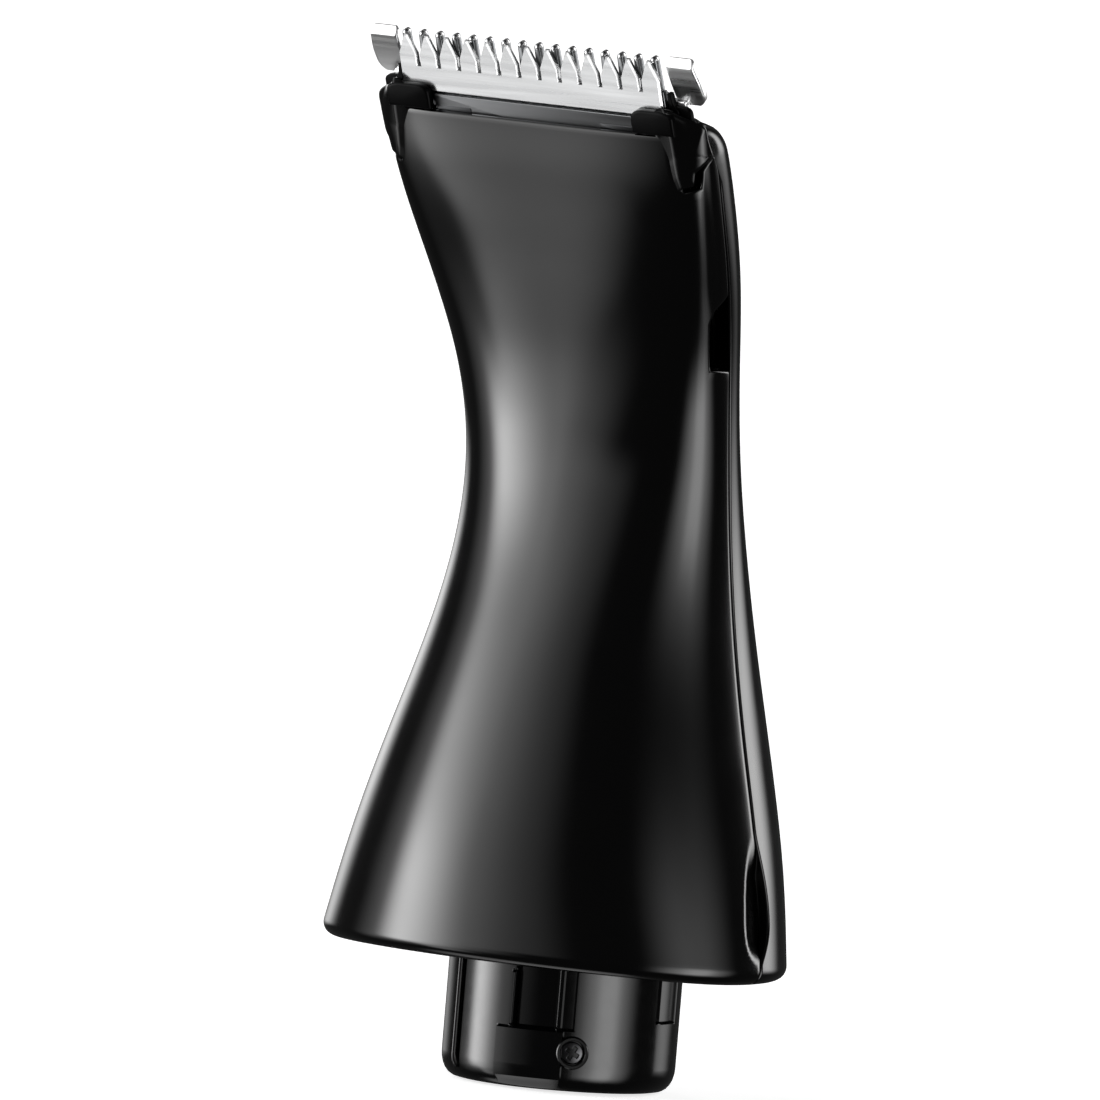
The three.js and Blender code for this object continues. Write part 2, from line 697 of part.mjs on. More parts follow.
groomerHead.add( housing, lever, cartridge, cutter );

export default groomerHead;
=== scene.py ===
"""Body groomer attachment head: the outer look of each piece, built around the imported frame.

Shapes are worked out in millimetres and turned into metres as a mesh is made. +Z runs up
the coupling plug, the blade leans towards -Y (the front), and +X is on the right of a
person who faces the front.
"""
import json
from types import SimpleNamespace

import bpy
import numpy as np
from bpy.props import FloatProperty, FloatVectorProperty, IntProperty, PointerProperty
from mathutils import Matrix, Vector


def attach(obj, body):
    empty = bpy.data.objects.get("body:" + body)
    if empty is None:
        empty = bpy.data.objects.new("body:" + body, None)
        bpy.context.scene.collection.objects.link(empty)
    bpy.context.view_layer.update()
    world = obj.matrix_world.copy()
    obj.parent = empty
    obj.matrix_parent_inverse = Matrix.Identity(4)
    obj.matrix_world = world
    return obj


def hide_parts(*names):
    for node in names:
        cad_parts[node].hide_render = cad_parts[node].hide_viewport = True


bl_info = {
    "name": "Groomer head",
    "version": (1, 0, 0),
    "blender": (4, 5, 0),
    "location": "View3D > Sidebar > Groomer head",
    "description": "Builds the pieces of a body groomer's attachment head",
    "category": "Object",
}

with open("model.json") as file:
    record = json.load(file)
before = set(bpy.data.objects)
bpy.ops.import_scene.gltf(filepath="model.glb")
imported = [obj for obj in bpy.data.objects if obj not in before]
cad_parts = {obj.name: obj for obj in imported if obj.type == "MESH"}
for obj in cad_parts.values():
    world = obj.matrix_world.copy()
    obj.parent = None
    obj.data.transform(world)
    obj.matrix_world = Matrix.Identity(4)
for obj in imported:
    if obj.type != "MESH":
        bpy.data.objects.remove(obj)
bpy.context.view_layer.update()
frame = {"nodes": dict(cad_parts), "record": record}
MM = 0.001
HEAD_MIDDLE = np.array([0.0, -6.0, 47.0])

# Housing stations: height, half width, seam position, depth in front of the seam,
# depth behind it, and how square each half of the section is (2 is an ellipse).
STATIONS = np.array([
    [11.3, 22.4, -2.3, 15.4, 16.0, 2.05, 2.05],
    [20.0, 20.5, -1.2, 16.0, 15.1, 2.05, 2.05],
    [30.0, 17.7, -0.5, 14.45, 13.7, 2.1, 2.1],
    [40.0, 15.0, 0.2, 12.1, 11.0, 2.15, 2.2],
    [48.0, 13.7, 0.2, 9.6, 8.6, 2.25, 2.3],
    [56.0, 13.4, -0.7, 7.65, 6.5, 2.4, 2.4],
    [64.0, 14.1, -2.8, 6.5, 6.2, 2.8, 2.4],
    [72.0, 15.6, -6.3, 5.5, 7.2, 3.4, 2.4],
    [80.0, 16.9, -10.5, 4.3, 7.7, 4.0, 2.4],
    [86.0, 17.4, -13.4, 3.0, 6.6, 4.5, 2.4],
    [92.0, 17.4, -17.0, 2.0, 5.0, 4.5, 2.4],
])
RIM_Z = STATIONS[0, 0]
# The latch notch in the front shell's side, and the opening for the cartridge's ear.
NOTCH = {"bottom": 64.1, "front_top": 69.4, "rear_top": 70.8, "y_bottom": -5.3, "y_top": -7.5}
EAR_Z = {"front": 79.75, "rear": 80.25, "tip": 83.2}
# Rough angles of the notch, tongue and opening and the ear's rear, for measuring small steps.
NOTCH_T, TONGUE_T, OPENING_T, EAR_REAR_T = -0.37, -0.4, -0.85, -0.3
TONGUE = {"z": [80.2, 80.9, 81.8, 82.5, 83.2], "y": [-13.0, -13.15, -13.4, -13.1, -12.55]}
OPENING = {"z": [79.75, 80.3, 81.2, 82.4, 83.3], "x": [15.15, 14.75, 14.5, 14.35, 14.3]}
LIP_THINS_OVER = (77.0, 80.0)
# Beside the ear the seam steps forward, over the first two heights, and back over the others.
SEAM_STEP, SEAM_FORWARD_OVER, SEAM_BACK_OVER = 0.75, (81.5, 85.0), (87.0, 90.0)
# The nail scoop beside the seam: its heights, how far it pushes the seam back, how deep and
# how wide it is cut, how fast it narrows upwards, and how its width and depth follow that.
SCOOP = {"low": 12.9, "widest": 16.4, "high": 24.2, "bulge": 1.35, "depth": 1.0, "reach": 3.4,
         "taper": 1.35, "least": 0.05, "narrowing": 0.6, "fullness": 1.6}
# The dished channel beside the seam: distance in front of it, half width as an angle, depth,
# and the heights over which it starts.
CHANNEL = {"ahead": 1.9, "spread": 0.16, "depth": 0.16, "low": 67.0, "high": 72.0}


# ------------------------------------------------------------------ sizes and colours

def length(name, description, default):
    """A length property, kept in metres. The default is in millimetres."""
    return FloatProperty(name=name, description=description, default=default * MM,
                         precision=5, unit="LENGTH")


def angle(name, description, default):
    """An angle property, kept in radians. The default is in degrees."""
    return FloatProperty(name=name, description=description, default=np.radians(default),
                         precision=4, subtype="ANGLE")


def colour(name, default):
    """A base colour property."""
    return FloatVectorProperty(name=name, description=f"Base colour of the {name.lower()}",
                               subtype="COLOR", size=4, min=0, max=1, default=(*default, 1))


class HeadSizes(bpy.types.PropertyGroup):
    """Sizes of the visible pieces."""

    wall: length("Wall", "Thickness of the housing's wall", 1.4)
    lip_wall: length("Lip wall", "Thickness of the lip under the blade", 0.55)
    edge: length("Edge radius", "Rounding of a moulded edge", 0.22)
    rim_round: length("Rim radius", "Rounding of the housing's rim", 1.15)
    crown_round: length("Crown radius", "Rounding of the rear shell's top", 2.6)
    seam_gap: length("Seam gap", "Gap between the two shells", 0.1)
    lip_y: length("Lip place", "Front of the lip, along Y", -16.15)
    lip_z: length("Lip height", "Height of the lip's front", 84.4)
    lip_tilt: angle("Lip tilt", "Rise of the housing's top to the back", 18.0)
    blade_y: length("Blade place", "Place of the comb's tips, along Y", -17.15)
    blade_z: length("Blade height", "Height of the comb's tips", 91.5)
    blade_lean: angle("Blade lean", "Lean of the blade to the front", 22.0)
    comb_teeth: IntProperty(name="Comb teeth", description="Number of comb teeth", default=16)
    comb_pitch: length("Comb pitch", "From one comb tooth to the next", 1.77)
    cutter_teeth: IntProperty(name="Cutter teeth", description="Number of cutter teeth", default=13)
    cutter_pitch: length("Cutter pitch", "From one cutter tooth to the next", 2.16)
    plug_radius: length("Plug radius", "Outside of the coupling plug", 10.3)
    bore_radius: length("Bore radius", "Bore of the coupling plug", 7.8)
    screw_azimuth: angle("Screw azimuth", "Side screw's place, from the front towards +X", 41.2)
    screw_z: length("Screw height", "Height of the side screw", 3.5)


class HeadColours(bpy.types.PropertyGroup):
    """Base colours of the finishes."""

    gloss_black: colour("Glossy housing", (0.0010, 0.0010, 0.0011))
    satin_black: colour("Satin plug", (0.0012, 0.0012, 0.0014))
    carrier_black: colour("Blade carrier", (0.0010, 0.0010, 0.0011))
    blade_steel: colour("Blade steel", (0.68, 0.685, 0.69))
    # lighter than the blade steel: painted light on the comb's end lobes and round tips
    lobe_steel: colour("Comb's end lobes", (0.93, 0.935, 0.94))
    # darker than the blade steel: painted shade for the cutter's shadow over the comb's teeth
    comb_steel: colour("Comb teeth", (0.20, 0.205, 0.21))
    strip_steel: colour("Guide strip", (0.18, 0.183, 0.187))
    pad_steel: colour("Pads of the strip", (0.06, 0.061, 0.063))
    screw_steel: colour("Screws", (0.06, 0.06, 0.062))
    lever_plastic: colour("Lever", (0.72, 0.70, 0.64))
    bush_brass: colour("Bush", (0.62, 0.43, 0.18))
    seal_rubber: colour("Dust seal", (0.018, 0.018, 0.018))
    floor: colour("Floor", (0.9, 0.9, 0.9))


class StageSettings(bpy.types.PropertyGroup):
    """Where the camera stands and how bright the studio is."""

    azimuth: angle("Azimuth", "Camera, from the front towards +X", 35.0)
    elevation: angle("Elevation", "Camera above the horizon", 3.6)
    roll: angle("Roll", "Camera turned about its own axis", 4.75)
    distance: length("Distance", "Camera to the head's middle", 2315.0)
    lens: FloatProperty(name="Lens", description="Focal length", default=865.8, unit="CAMERA")
    side_offset: length("Side offset", "Aim, left of the head's middle", 1.006)
    fill: FloatProperty(name="Fill", description="Light from every side", default=0.045)
    backdrop: FloatProperty(name="Backdrop", description="Brightness of the backdrop", default=1.0)


def sizes():
    """The sizes as plain numbers, with lengths in millimetres and angles in radians."""
    group = bpy.context.scene.head_sizes
    units = {name: group.bl_rna.properties[name].unit for name in HeadSizes.__annotations__}
    return SimpleNamespace(**{name: getattr(group, name) / (MM if unit == "LENGTH" else 1)
                              for name, unit in units.items() if unit != "NONE"},
                           comb_teeth=group.comb_teeth, cutter_teeth=group.cutter_teeth)


# ------------------------------------------------------------------ meshes from grids


def natural_spline(x, y):
    """A cubic through the points whose second derivative is continuous and ends at zero."""
    h = np.diff(x)
    rows = np.eye(len(x))
    right = np.zeros(len(x))
    inner = np.arange(1, len(x) - 1)
    rows[inner, inner - 1] = h[:-1]
    rows[inner, inner] = 2 * (h[:-1] + h[1:])
    rows[inner, inner + 1] = h[1:]
    right[inner] = 6 * (np.diff(y)[1:] / h[1:] - np.diff(y)[:-1] / h[:-1])
    bend = np.linalg.solve(rows, right)

    def at(v):
        i = np.clip(np.searchsorted(x, v) - 1, 0, len(x) - 2)
        a, b, s = x[i + 1] - v, v - x[i], h[i]
        cubic = (bend[i] * a ** 3 + bend[i + 1] * b ** 3) / (6 * s)
        return cubic + (y[i] / s - bend[i] * s / 6) * a + (y[i + 1] / s - bend[i + 1] * s / 6) * b

    return at


def smooth(v, low, high):
    """0 below low, 1 above high, and 3v^2 - 2v^3 in between."""
    v = np.clip((v - low) / (high - low), 0, 1)
    return v * v * (3 - 2 * v)


def quadratic(t, start, handle, end):
    """The quadratic curve from start to end, pulled towards its handle."""
    return (1 - t) ** 2 * start + 2 * t * (1 - t) * handle + t ** 2 * end


def quarter_circle(share, stop=0.99):
    """How far a quarter circle has drawn in at a share of its way, 0 to 1, stopping just short."""
    return 1 - np.sqrt(1 - share ** 2 * stop)


def stepped(stops, counts):
    """Even steps between stops, counts[k] of them from stops[k], without the last stop."""
    return np.concatenate([np.linspace(a, b, n, endpoint=False)
                           for a, b, n in zip(stops, stops[1:], counts)])


def walled(layers, mask):
    """A closed body from layers (k, rows, cols, 3) of one grid, outer face first.

    The outer and inner faces hold the grid's quads that mask lets through, and each edge
    that only one quad uses gets a wall from layer to layer.
    """
    count, rows, cols = layers.shape[:3]
    index = np.arange(rows * cols).reshape(rows, cols)
    quads = np.stack([index[:-1, :-1], index[:-1, 1:], index[1:, 1:], index[1:, :-1]], -1)[mask]
    edges = np.concatenate([quads[:, [k, (k + 1) % 4]] for k in range(4)])
    edge_of, uses = np.unique(np.sort(edges, 1), axis=0, return_inverse=True,
                              return_counts=True)[1:]
    start, end = edges[uses[edge_of.ravel()] == 1].T
    step = rows * cols
    faces = [quads, quads[:, ::-1] + (count - 1) * step]
    for k in range(count - 1):
        faces.append(np.stack([end + k * step, start + k * step,
                               start + (k + 1) * step, end + (k + 1) * step], 1))
    return layers.reshape(-1, 3), np.concatenate(faces)


def ring_quads(rings, count, closed=False):
    """Quads between rings of count points each, numbered in ring order.

    A closed body goes on from its last ring to its first.
    """
    first = np.arange(rings if closed else rings - 1)[:, None] * count
    here = first + np.arange(count)
    beside = first + (np.arange(count) + 1) % count
    above = [(corner + count) % (rings * count) for corner in (beside, here)]
    return np.stack([here, beside, *above], -1).reshape(-1, 4)


def capped(rings, count):
    """The faces of ring_quads as a list, and a flat face over the first and the last ring."""
    last = (rings - 1) * count
    return ring_quads(rings, count).tolist() + [list(range(count))[::-1],
                                                list(range(last, last + count))]


def plate(outline, levels, place):
    """A closed plate: the outline's points (n, 2) at each (inset, level), with flat ends.

    Each point moves inwards along the mean of its two edges' normals, lengthened so that
    both edges move by the inset. place turns (a, b, level) arrays into points.
    """
    before = outline - np.roll(outline, 1, 0)
    after = np.roll(outline, -1, 0) - outline
    normal_in = [np.stack([-e[:, 1], e[:, 0]], 1) / np.linalg.norm(e, axis=1)[:, None]
                 for e in (before, after)]
    mean = normal_in[0] + normal_in[1]
    mitre = 2 * mean / np.maximum((mean ** 2).sum(1), 0.5)[:, None]
    area = (outline[:, 0] * np.roll(outline[:, 1], -1) - outline[:, 1]
            * np.roll(outline[:, 0], -1)).sum()
    rings = [place(*(outline + np.sign(area) * inset * mitre).T, level) for inset, level in levels]
    return np.concatenate(rings), capped(len(levels), len(outline))


def bevelled(low, high, edge_low, edge_high, steps=3):
    """(inset, level) pairs of a plate from low to high with a round edge at each side."""
    turn = np.linspace(0, np.pi / 2, steps + 1)
    first = [(edge_low * (1 - np.sin(a)), low + edge_low * (1 - np.cos(a))) for a in turn]
    last = [(edge_high * (1 - np.sin(a)), high - edge_high * (1 - np.cos(a))) for a in turn]
    return first + last[::-1]


def rounded(corners, radius, steps=4):
    """An outline (n, 2) whose corners are arcs: a quadratic curve from edge to edge."""
    corners = np.asarray(corners, float)
    radius = np.broadcast_to(radius, len(corners))
    points = []
    t = np.linspace(0, 1, steps + 1)[:, None]
    for k, corner in enumerate(corners):
        if radius[k] == 0:
            points.append(corner[None])
            continue
        sides = [corners[k - 1] - corner, corners[(k + 1) % len(corners)] - corner]
        ends = [corner + s * min(radius[k] / np.linalg.norm(s), 0.48) for s in sides]
        points.append(quadratic(t, ends[0], corner, ends[1]))
    return np.concatenate(points)


def as_lists(faces):
    """Faces as lists, from an array or from lists."""
    return faces.tolist() if isinstance(faces, np.ndarray) else faces


def joined(*bodies):
    """Several (points, faces) bodies as one list of points and one of faces."""
    points, faces, start = [], [], 0
    for body_points, body_faces in bodies:
        points.append(body_points)
        faces += [[v + start for v in f] for f in as_lists(body_faces)]
        start += len(body_points)
    return np.concatenate(points), faces


def outward(points, faces):
    """The faces, turned round if the body they enclose has a negative volume."""
    volume = 0.0
    for f in faces:
        p = points[f]
        volume += np.einsum("ij,ij->", np.cross(p[1:-1], p[2:]), np.repeat(p[:1], len(f) - 2, 0))
    return [f[::-1] for f in faces] if volume < 0 else faces


def outward_quads(points, quads):
    """As outward, for an array of quads."""
    a, b, c, d = (points[quads[:, k]] for k in range(4))
    volume = np.einsum("ij,ij->", a, np.cross(b, c)) + np.einsum("ij,ij->", a, np.cross(c, d))
    return quads[:, ::-1] if volume < 0 else quads


def right_way(body):
    """The body with its faces turned outwards."""
    points, faces = body
    return points, outward(points, as_lists(faces))


def both_sides(body):
    """The body with its faces turned outwards, and its mirror image on the left."""
    points, faces = right_way(body)
    return joined((points, faces), (points * [-1, 1, 1], [f[::-1] for f in faces]))


def add_piece(name, body, slot, rides="housing", replaced=(), sharp=38, look=None):
    """Makes a piece from (points in mm, faces), with smooth shading up to the sharp angle.

    It rides a body, hides the CAD nodes it replaces, and takes the look of its slot
    unless another look is named.
    """
    points, faces = body
    if isinstance(faces, np.ndarray):
        faces = outward_quads(points, faces)
        used, faces = np.unique(faces, return_inverse=True)
        points, faces = points[used], faces.reshape(-1, 4)
    mesh = bpy.data.meshes.new(name)
    mesh.from_pydata((points * MM).tolist(), [], as_lists(faces))
    mesh.update()
    mesh.shade_smooth()
    mesh.set_sharp_from_angle(angle=np.radians(sharp))
    piece = bpy.data.objects.new(name, mesh)
    bpy.context.scene.collection.objects.link(piece)
    mesh.materials.append(finish(look or slot))
    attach(piece, rides)
    if replaced:
        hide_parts(*replaced)


# ------------------------------------------------------------------ the housing's surface

HALF, SEAM, FRONT, REAR, FRONT_SQUARE, REAR_SQUARE = (
    natural_spline(STATIONS[:, 0], STATIONS[:, k]) for k in range(1, 7))


def section_point(t, z):
    """A point of the housing at angle t and height z; 0 is the right seam, -90 deg the front.

    The section is |x/a|^n + |y/b|^n = 1 about the seam, met by the ray at angle t.
    """
    c, s = np.cos(t), np.sin(t)
    n = np.where(s < 0, FRONT_SQUARE(z), REAR_SQUARE(z))
    depth = np.where(s < 0, FRONT(z), REAR(z))
    reach = (np.abs(c) ** n + np.abs(s) ** n) ** (-1 / n)
    return np.stack([HALF(z) * c * reach, SEAM(z) + depth * s * reach, z + 0 * t], -1)


def section_normal(t, z):
    """The outward unit normal, as the cross product of the two small steps on the surface."""
    step = 1e-3
    along = section_point(t + step, z) - section_point(t - step, z)
    up = section_point(t, z + step) - section_point(t, z - step)
    normal = np.cross(along, up)
    return normal / np.linalg.norm(normal, axis=-1, keepdims=True)


def angle_at(y, z):
    """The angle of the right-hand surface point that has this y at this height."""
    depth = np.where(y < SEAM(z), FRONT(z), REAR(z))
    n = np.where(y < SEAM(z), FRONT_SQUARE(z), REAR_SQUARE(z))
    s = np.clip((y - SEAM(z)) / depth, -0.999, 0.999)
    return np.arctan2(s, (1 - np.abs(s) ** n) ** (1 / n))


def angle_step(t, z, distance):
    """How far the angle turns for a distance along the section."""
    step = 1e-3
    speed = np.linalg.norm(section_point(t + step, z) - section_point(t - step, z), axis=-1)
    return distance * 2 * step / speed


def scoop_share(z):
    """0 outside the nail scoop's height, rising fast from its foot and falling slowly above."""
    rise = np.clip((z - SCOOP["low"]) / (SCOOP["widest"] - SCOOP["low"]), 0, 1)
    fall = np.clip((SCOOP["high"] - z) / (SCOOP["high"] - SCOOP["widest"]), 0, 1)
    return np.sin(rise * np.pi / 2) * np.sin(fall * np.pi / 2) ** SCOOP["taper"]


def seam_y(z):
    """Where the shells meet: the stations' seam, pushed back by the scoop, forward by the ear."""
    forward = SEAM_STEP * smooth(z, *SEAM_FORWARD_OVER) * (1 - smooth(z, *SEAM_BACK_OVER))
    return SEAM(z) + SCOOP["bulge"] * scoop_share(z) - forward


def scoop_depth(points):
    """How deep the scoop is cut: a parabola that starts steeply and is level at the seam."""
    share = scoop_share(points[..., 2])
    width = SCOOP["reach"] * np.maximum(share, SCOOP["least"]) ** SCOOP["narrowing"]
    front = seam_y(points[..., 2]) - width
    across = np.clip((points[..., 1] - front) / SCOOP["reach"], 0, 1)
    return SCOOP["depth"] * np.minimum(share * SCOOP["fullness"], 1) * (1 - (1 - across) ** 2)


def rim_depth(z):
    """A quarter circle that draws the surface in towards the rim."""
    radius = sizes().rim_round
    return radius * quarter_circle(np.clip(1 - (z - RIM_Z) / radius, 0, 1), 0.999)


def channel_depth(t, z):
    """A shallow dished channel beside the seam, a bell curve across, from the ear down."""
    place = angle_at(SEAM(z) - CHANNEL["ahead"], z)
    side = np.where(t < -np.pi / 2, -np.pi - t, t)
    across = np.exp(-((side - place) / CHANNEL["spread"]) ** 2)
    return CHANNEL["depth"] * across * smooth(z, CHANNEL["low"], CHANNEL["high"])


def lip_height(t, z):
    """Height of the tilted plane that cuts the housing's top, above the point at t and z.

    The point moves as the height does, so four rounds bring the two together.
    """
    s = sizes()
    for _ in range(4):
        z = s.lip_z + (section_point(t, z)[..., 1] - s.lip_y) * np.tan(s.lip_tilt)
    return z


def spread(keys, counts):
    """Columns between key columns: counts[k] even steps from keys[k] to keys[k + 1]."""
    parts = [keys[0][:, None]]
    for a, b, n in zip(keys[:-1], keys[1:], counts):
        parts.append(a[:, None] + (b - a)[:, None] * np.arange(1, n + 1) / n)
    return np.concatenate(parts, 1)


def round_edge(radius, thickness, inner_radius, steps=4):
    """(inset, depth) pairs from the outer face over a round edge to the inner face."""
    turn = np.linspace(0, np.pi / 2, steps + 1)
    outer = [(radius * (1 - np.sin(a)), radius * (1 - np.cos(a))) for a in turn]
    return outer + [(0.0, thickness - inner_radius), (inner_radius, thickness)]


def shell_lift(angles, heights, depth, wall):
    """Surface points moved inwards by depth, with the rim drawn in and the channel cut in."""
    points = section_point(angles, heights)
    cuts = rim_depth(heights) + channel_depth(angles, heights)
    return points - section_normal(angles, heights) * ((depth + cuts * (1 - depth / wall))
                                                       [..., None])


# ------------------------------------------------------------------ front shell

FRONT_COLUMNS = {"seam_to_notch": 22, "notch_to_tongue": 7, "tongue_to_ear": 8, "ear_to_middle": 34}
FRONT_ROWS = {"rim": 7, "scoop": 38, "waist": 60, "notch": 12, "shoulder": 16, "head": 18}
SCOOP_ROWS = (12.5, 25.5)


def tongue_y(z):
    """Rear edge of the ear's opening, where the front shell keeps a tongue beside the seam."""
    return np.interp(z, TONGUE["z"], TONGUE["y"])


def opening_t(z):
    """Front edge of the ear's opening, from its foot up to the lip's corner.

    The angle of the point with a given x: the section's equation solved for the depth.
    """
    across = np.interp(z, OPENING["z"], OPENING["x"]) / HALF(z)
    square = FRONT_SQUARE(z)
    return -np.arctan2((1 - across ** square) ** (1 / square), across)


def front_columns(low, z, inset):
    """Angles of the key columns in each row: seam, notch, tongue, opening and middle.

    A column keeps its end value in the rows below and above its own feature, and the
    notch's column goes over to an even share of the way to the tongue.
    """
    seam = angle_at(seam_y(z), z) - angle_step(0 * z, z, sizes().seam_gap / 2 + inset)
    in_notch = np.clip(z, NOTCH["bottom"], NOTCH["rear_top"])
    notch_y = np.interp(in_notch, [NOTCH["bottom"], NOTCH["front_top"]],
                        [NOTCH["y_bottom"], NOTCH["y_top"]])
    notch = angle_at(notch_y, in_notch) - angle_step(NOTCH_T, in_notch, inset)
    in_ear = np.maximum(z, EAR_Z["rear"])
    tongue = angle_at(tongue_y(in_ear), in_ear) + angle_step(TONGUE_T, in_ear, inset)
    least_tongue = 0.012
    tongue = np.minimum(tongue, seam - least_tongue)
    head = np.linspace(EAR_Z["front"], sizes().lip_z, FRONT_ROWS["head"] + 1)
    in_head = np.maximum(np.concatenate([low, head]), EAR_Z["front"])
    opening = opening_t(in_head) - angle_step(OPENING_T, in_head, inset)
    counts = list(FRONT_COLUMNS.values())
    even = seam + (tongue - seam) * counts[0] / (counts[0] + counts[1])
    above = smooth(z, NOTCH["rear_top"], EAR_Z["rear"] - 1)
    notch = notch * (1 - above) + even * above
    return [seam, notch, tongue, opening, np.full_like(z, -np.pi / 2)]


def front_domain(inset):
    """Angles and heights of the front shell's grid, with each free edge moved in by inset.

    Rows run from rim to lip, with one at each edge of the latch notch and at the ear's
    foot. Columns run from the right seam to the left one, with one at the notch's front
    edge and one at each side of the ear's opening.
    """
    rows, columns = FRONT_ROWS, FRONT_COLUMNS
    stops = [RIM_Z + inset, *SCOOP_ROWS, NOTCH["bottom"] - inset, NOTCH["rear_top"] + inset,
             EAR_Z["rear"] - inset]
    low = stepped(stops, rows.values())
    z = np.concatenate([low, np.linspace(stops[-1], EAR_Z["tip"] - inset, rows["head"] + 1)])
    angles = spread(front_columns(low, z, inset), columns.values())
    heights = np.repeat(z[:, None], angles.shape[1], 1)
    row, column = np.arange(len(z)), np.arange(angles.shape[1])
    at_notch = columns["seam_to_notch"]
    at_ear = at_notch + columns["notch_to_tongue"]
    at_head = at_ear + columns["tongue_to_ear"]
    first = len(low)
    notch_row = first - rows["shoulder"]
    foot_row = notch_row - rows["notch"]
    # the notch's top edge slopes down to the front
    slope = np.interp(column, [0, at_notch, column[-1]], [0, 1, 0.35])
    ramp = np.interp(row, [foot_row, notch_row, first], [0, 1, 0])
    heights -= ramp[:, None] * (NOTCH["rear_top"] - NOTCH["front_top"]) * slope
    # the ear's foot slopes too, and the head's rows run up to the lip
    foot = np.interp(column, [at_ear, at_head], [EAR_Z["rear"], EAR_Z["front"]]) - inset
    shoulder = np.clip((row - notch_row) / (first - notch_row), 0, 1) * (row <= first)
    heights += shoulder[:, None] * (foot - heights[first])
    head = np.clip((row - first) / rows["head"], 0, 1)[:, None]
    lip = lip_height(angles[-1], np.full(len(column), sizes().lip_z))
    top = np.where(column >= at_head, lip, EAR_Z["tip"]) - inset
    heights[first:] = (foot + (top - foot) * head)[first:]
    return (np.concatenate([angles, -np.pi - angles[:, -2::-1]], 1),
            np.concatenate([heights, heights[:, -2::-1]], 1))


def front_mask():
    """Which quads the front shell has: none in the two notches or beside the two ears."""
    rows, columns = FRONT_ROWS, FRONT_COLUMNS
    notch = rows["rim"] + rows["scoop"] + rows["waist"]
    ear = notch + rows["notch"] + rows["shoulder"]
    tongue = columns["seam_to_notch"] + columns["notch_to_tongue"]
    opening = tongue + columns["tongue_to_ear"]
    mask = np.ones((ear + rows["head"], 2 * (opening + columns["ear_to_middle"])), bool)
    mask[notch:notch + rows["notch"], :columns["seam_to_notch"]] = False
    mask[ear:, tongue:opening] = False
    return mask & mask[:, ::-1]


def front_shell():
    """The front half: outer grid, round edges and inner grid, thinner behind the lip."""
    s = sizes()
    layers = []
    for inset, depth in round_edge(s.edge, s.wall, 0.1):
        angles, heights = front_domain(inset)
        thin = 1 - (1 - s.lip_wall / s.wall) * smooth(heights, *LIP_THINS_OVER)
        inside = depth * np.where(depth > s.edge, thin, 1)
        points = shell_lift(angles, heights, inside, s.wall)
        scoop = scoop_depth(section_point(angles, heights)) * (1 - depth / s.wall)
        points[..., 0] -= np.sign(points[..., 0]) * scoop
        layers.append(points)
    return walled(np.array(layers), front_mask())


# ------------------------------------------------------------------ rear shell

REAR_STOPS = (84.0, 86.0)
REAR_STEPS = 60


def rear_domain(inset):
    """Angles and heights of the rear shell's grid, from the right seam round to the left.

    The columns stand closer together towards the seams, and the upper rows are lifted
    to the tilted top.
    """
    half = np.linspace(0, 1, REAR_STEPS) ** 1.5 / 2
    share = np.concatenate([half, 1 - half[-2::-1]])
    z = np.concatenate([stepped([RIM_Z + inset, *SCOOP_ROWS, REAR_STOPS[0]], (7, 38, 84)),
                        np.linspace(*REAR_STOPS, 8)])
    seam = angle_at(seam_y(z), z) + angle_step(0 * z, z, sizes().seam_gap / 2 + inset)
    angles = seam[:, None] + (np.pi - 2 * seam)[:, None] * share
    heights = np.repeat(z[:, None], angles.shape[1], 1)
    top = lip_height(angles[-1], heights[-1]) - inset
    lifted = smooth(heights, 60.0, REAR_STOPS[1]) * (top - REAR_STOPS[1])
    return angles, heights + lifted


def rear_shell():
    """The rear half: outer grid, round edges and inner grid, with its top edge drawn in."""
    s = sizes()
    layers = []
    for inset, depth in round_edge(s.edge, s.wall, 0.1):
        angles, heights = rear_domain(inset)
        near = np.clip(1 - (lip_height(angles, heights) - heights) / s.crown_round, 0, 1)
        crown = s.crown_round * 0.6 * quarter_circle(near, 0.998)
        depth = depth + crown * (1 - depth / s.wall)
        layers.append(shell_lift(angles, heights, depth, s.wall))
    layers = np.array(layers)
    return walled(layers, np.ones((layers.shape[1] - 1, layers.shape[2] - 1), bool))


# ------------------------------------------------------------------ blades

COMB = {"half_thickness": 0.35, "root_z": -3.2, "half_width": 13.9, "bottom_z": -10.0,
        "root_half": 0.42, "tip_radius": 0.3}
CUTTER = {"front": -0.85, "back": -0.4, "bottom_z": -5.4, "slot_z": -3.03, "valley_z": -2.0,
          "tip_z": -0.25, "tip_half": 0.16, "slot_half": 0.14}
LOBE = {"length": 4.7, "inner": 14.4, "outer": 17.2, "edge": 0.16, "thickness": 0.75,
        "y": (-0.28, 0.0, 0.95), "z": (-0.1, -2.3, -4.75), "foot": 0.76, "head": 0.12,
        "bevel": 0.15, "bevel_depth": 0.55}
# The lobe's corners: how far the inner and the outer edge draw in at the head and the foot.
LOBE_CORNERS = {"inner_head": 0.25, "inner_foot": 0.3, "outer_head": 0.35, "outer_foot": 1.0,
                "flare": 0.3}
# The bead on a comb tooth: its radius, its half depth, and how far its middle is below the top.
BEAD = {"radius": 0.34, "depth": 0.42, "low": 0.32, "rings": 12, "around": 24}


def from_blade(x, y, z):
    """Points of the blade's own frame, turned by its lean and put at the comb's tips."""
    s = sizes()
    x, y, z = np.broadcast_arrays(x, y, z)
    return np.stack([x, s.blade_y + y * np.cos(s.blade_lean) - z * np.sin(s.blade_lean),
                     s.blade_z + y * np.sin(s.blade_lean) + z * np.cos(s.blade_lean)],
                    -1).astype(float)


def facing(x, z, y):
    """An outline in the blade's X and Z at a level along its Y."""
    return from_blade(x, y, z)


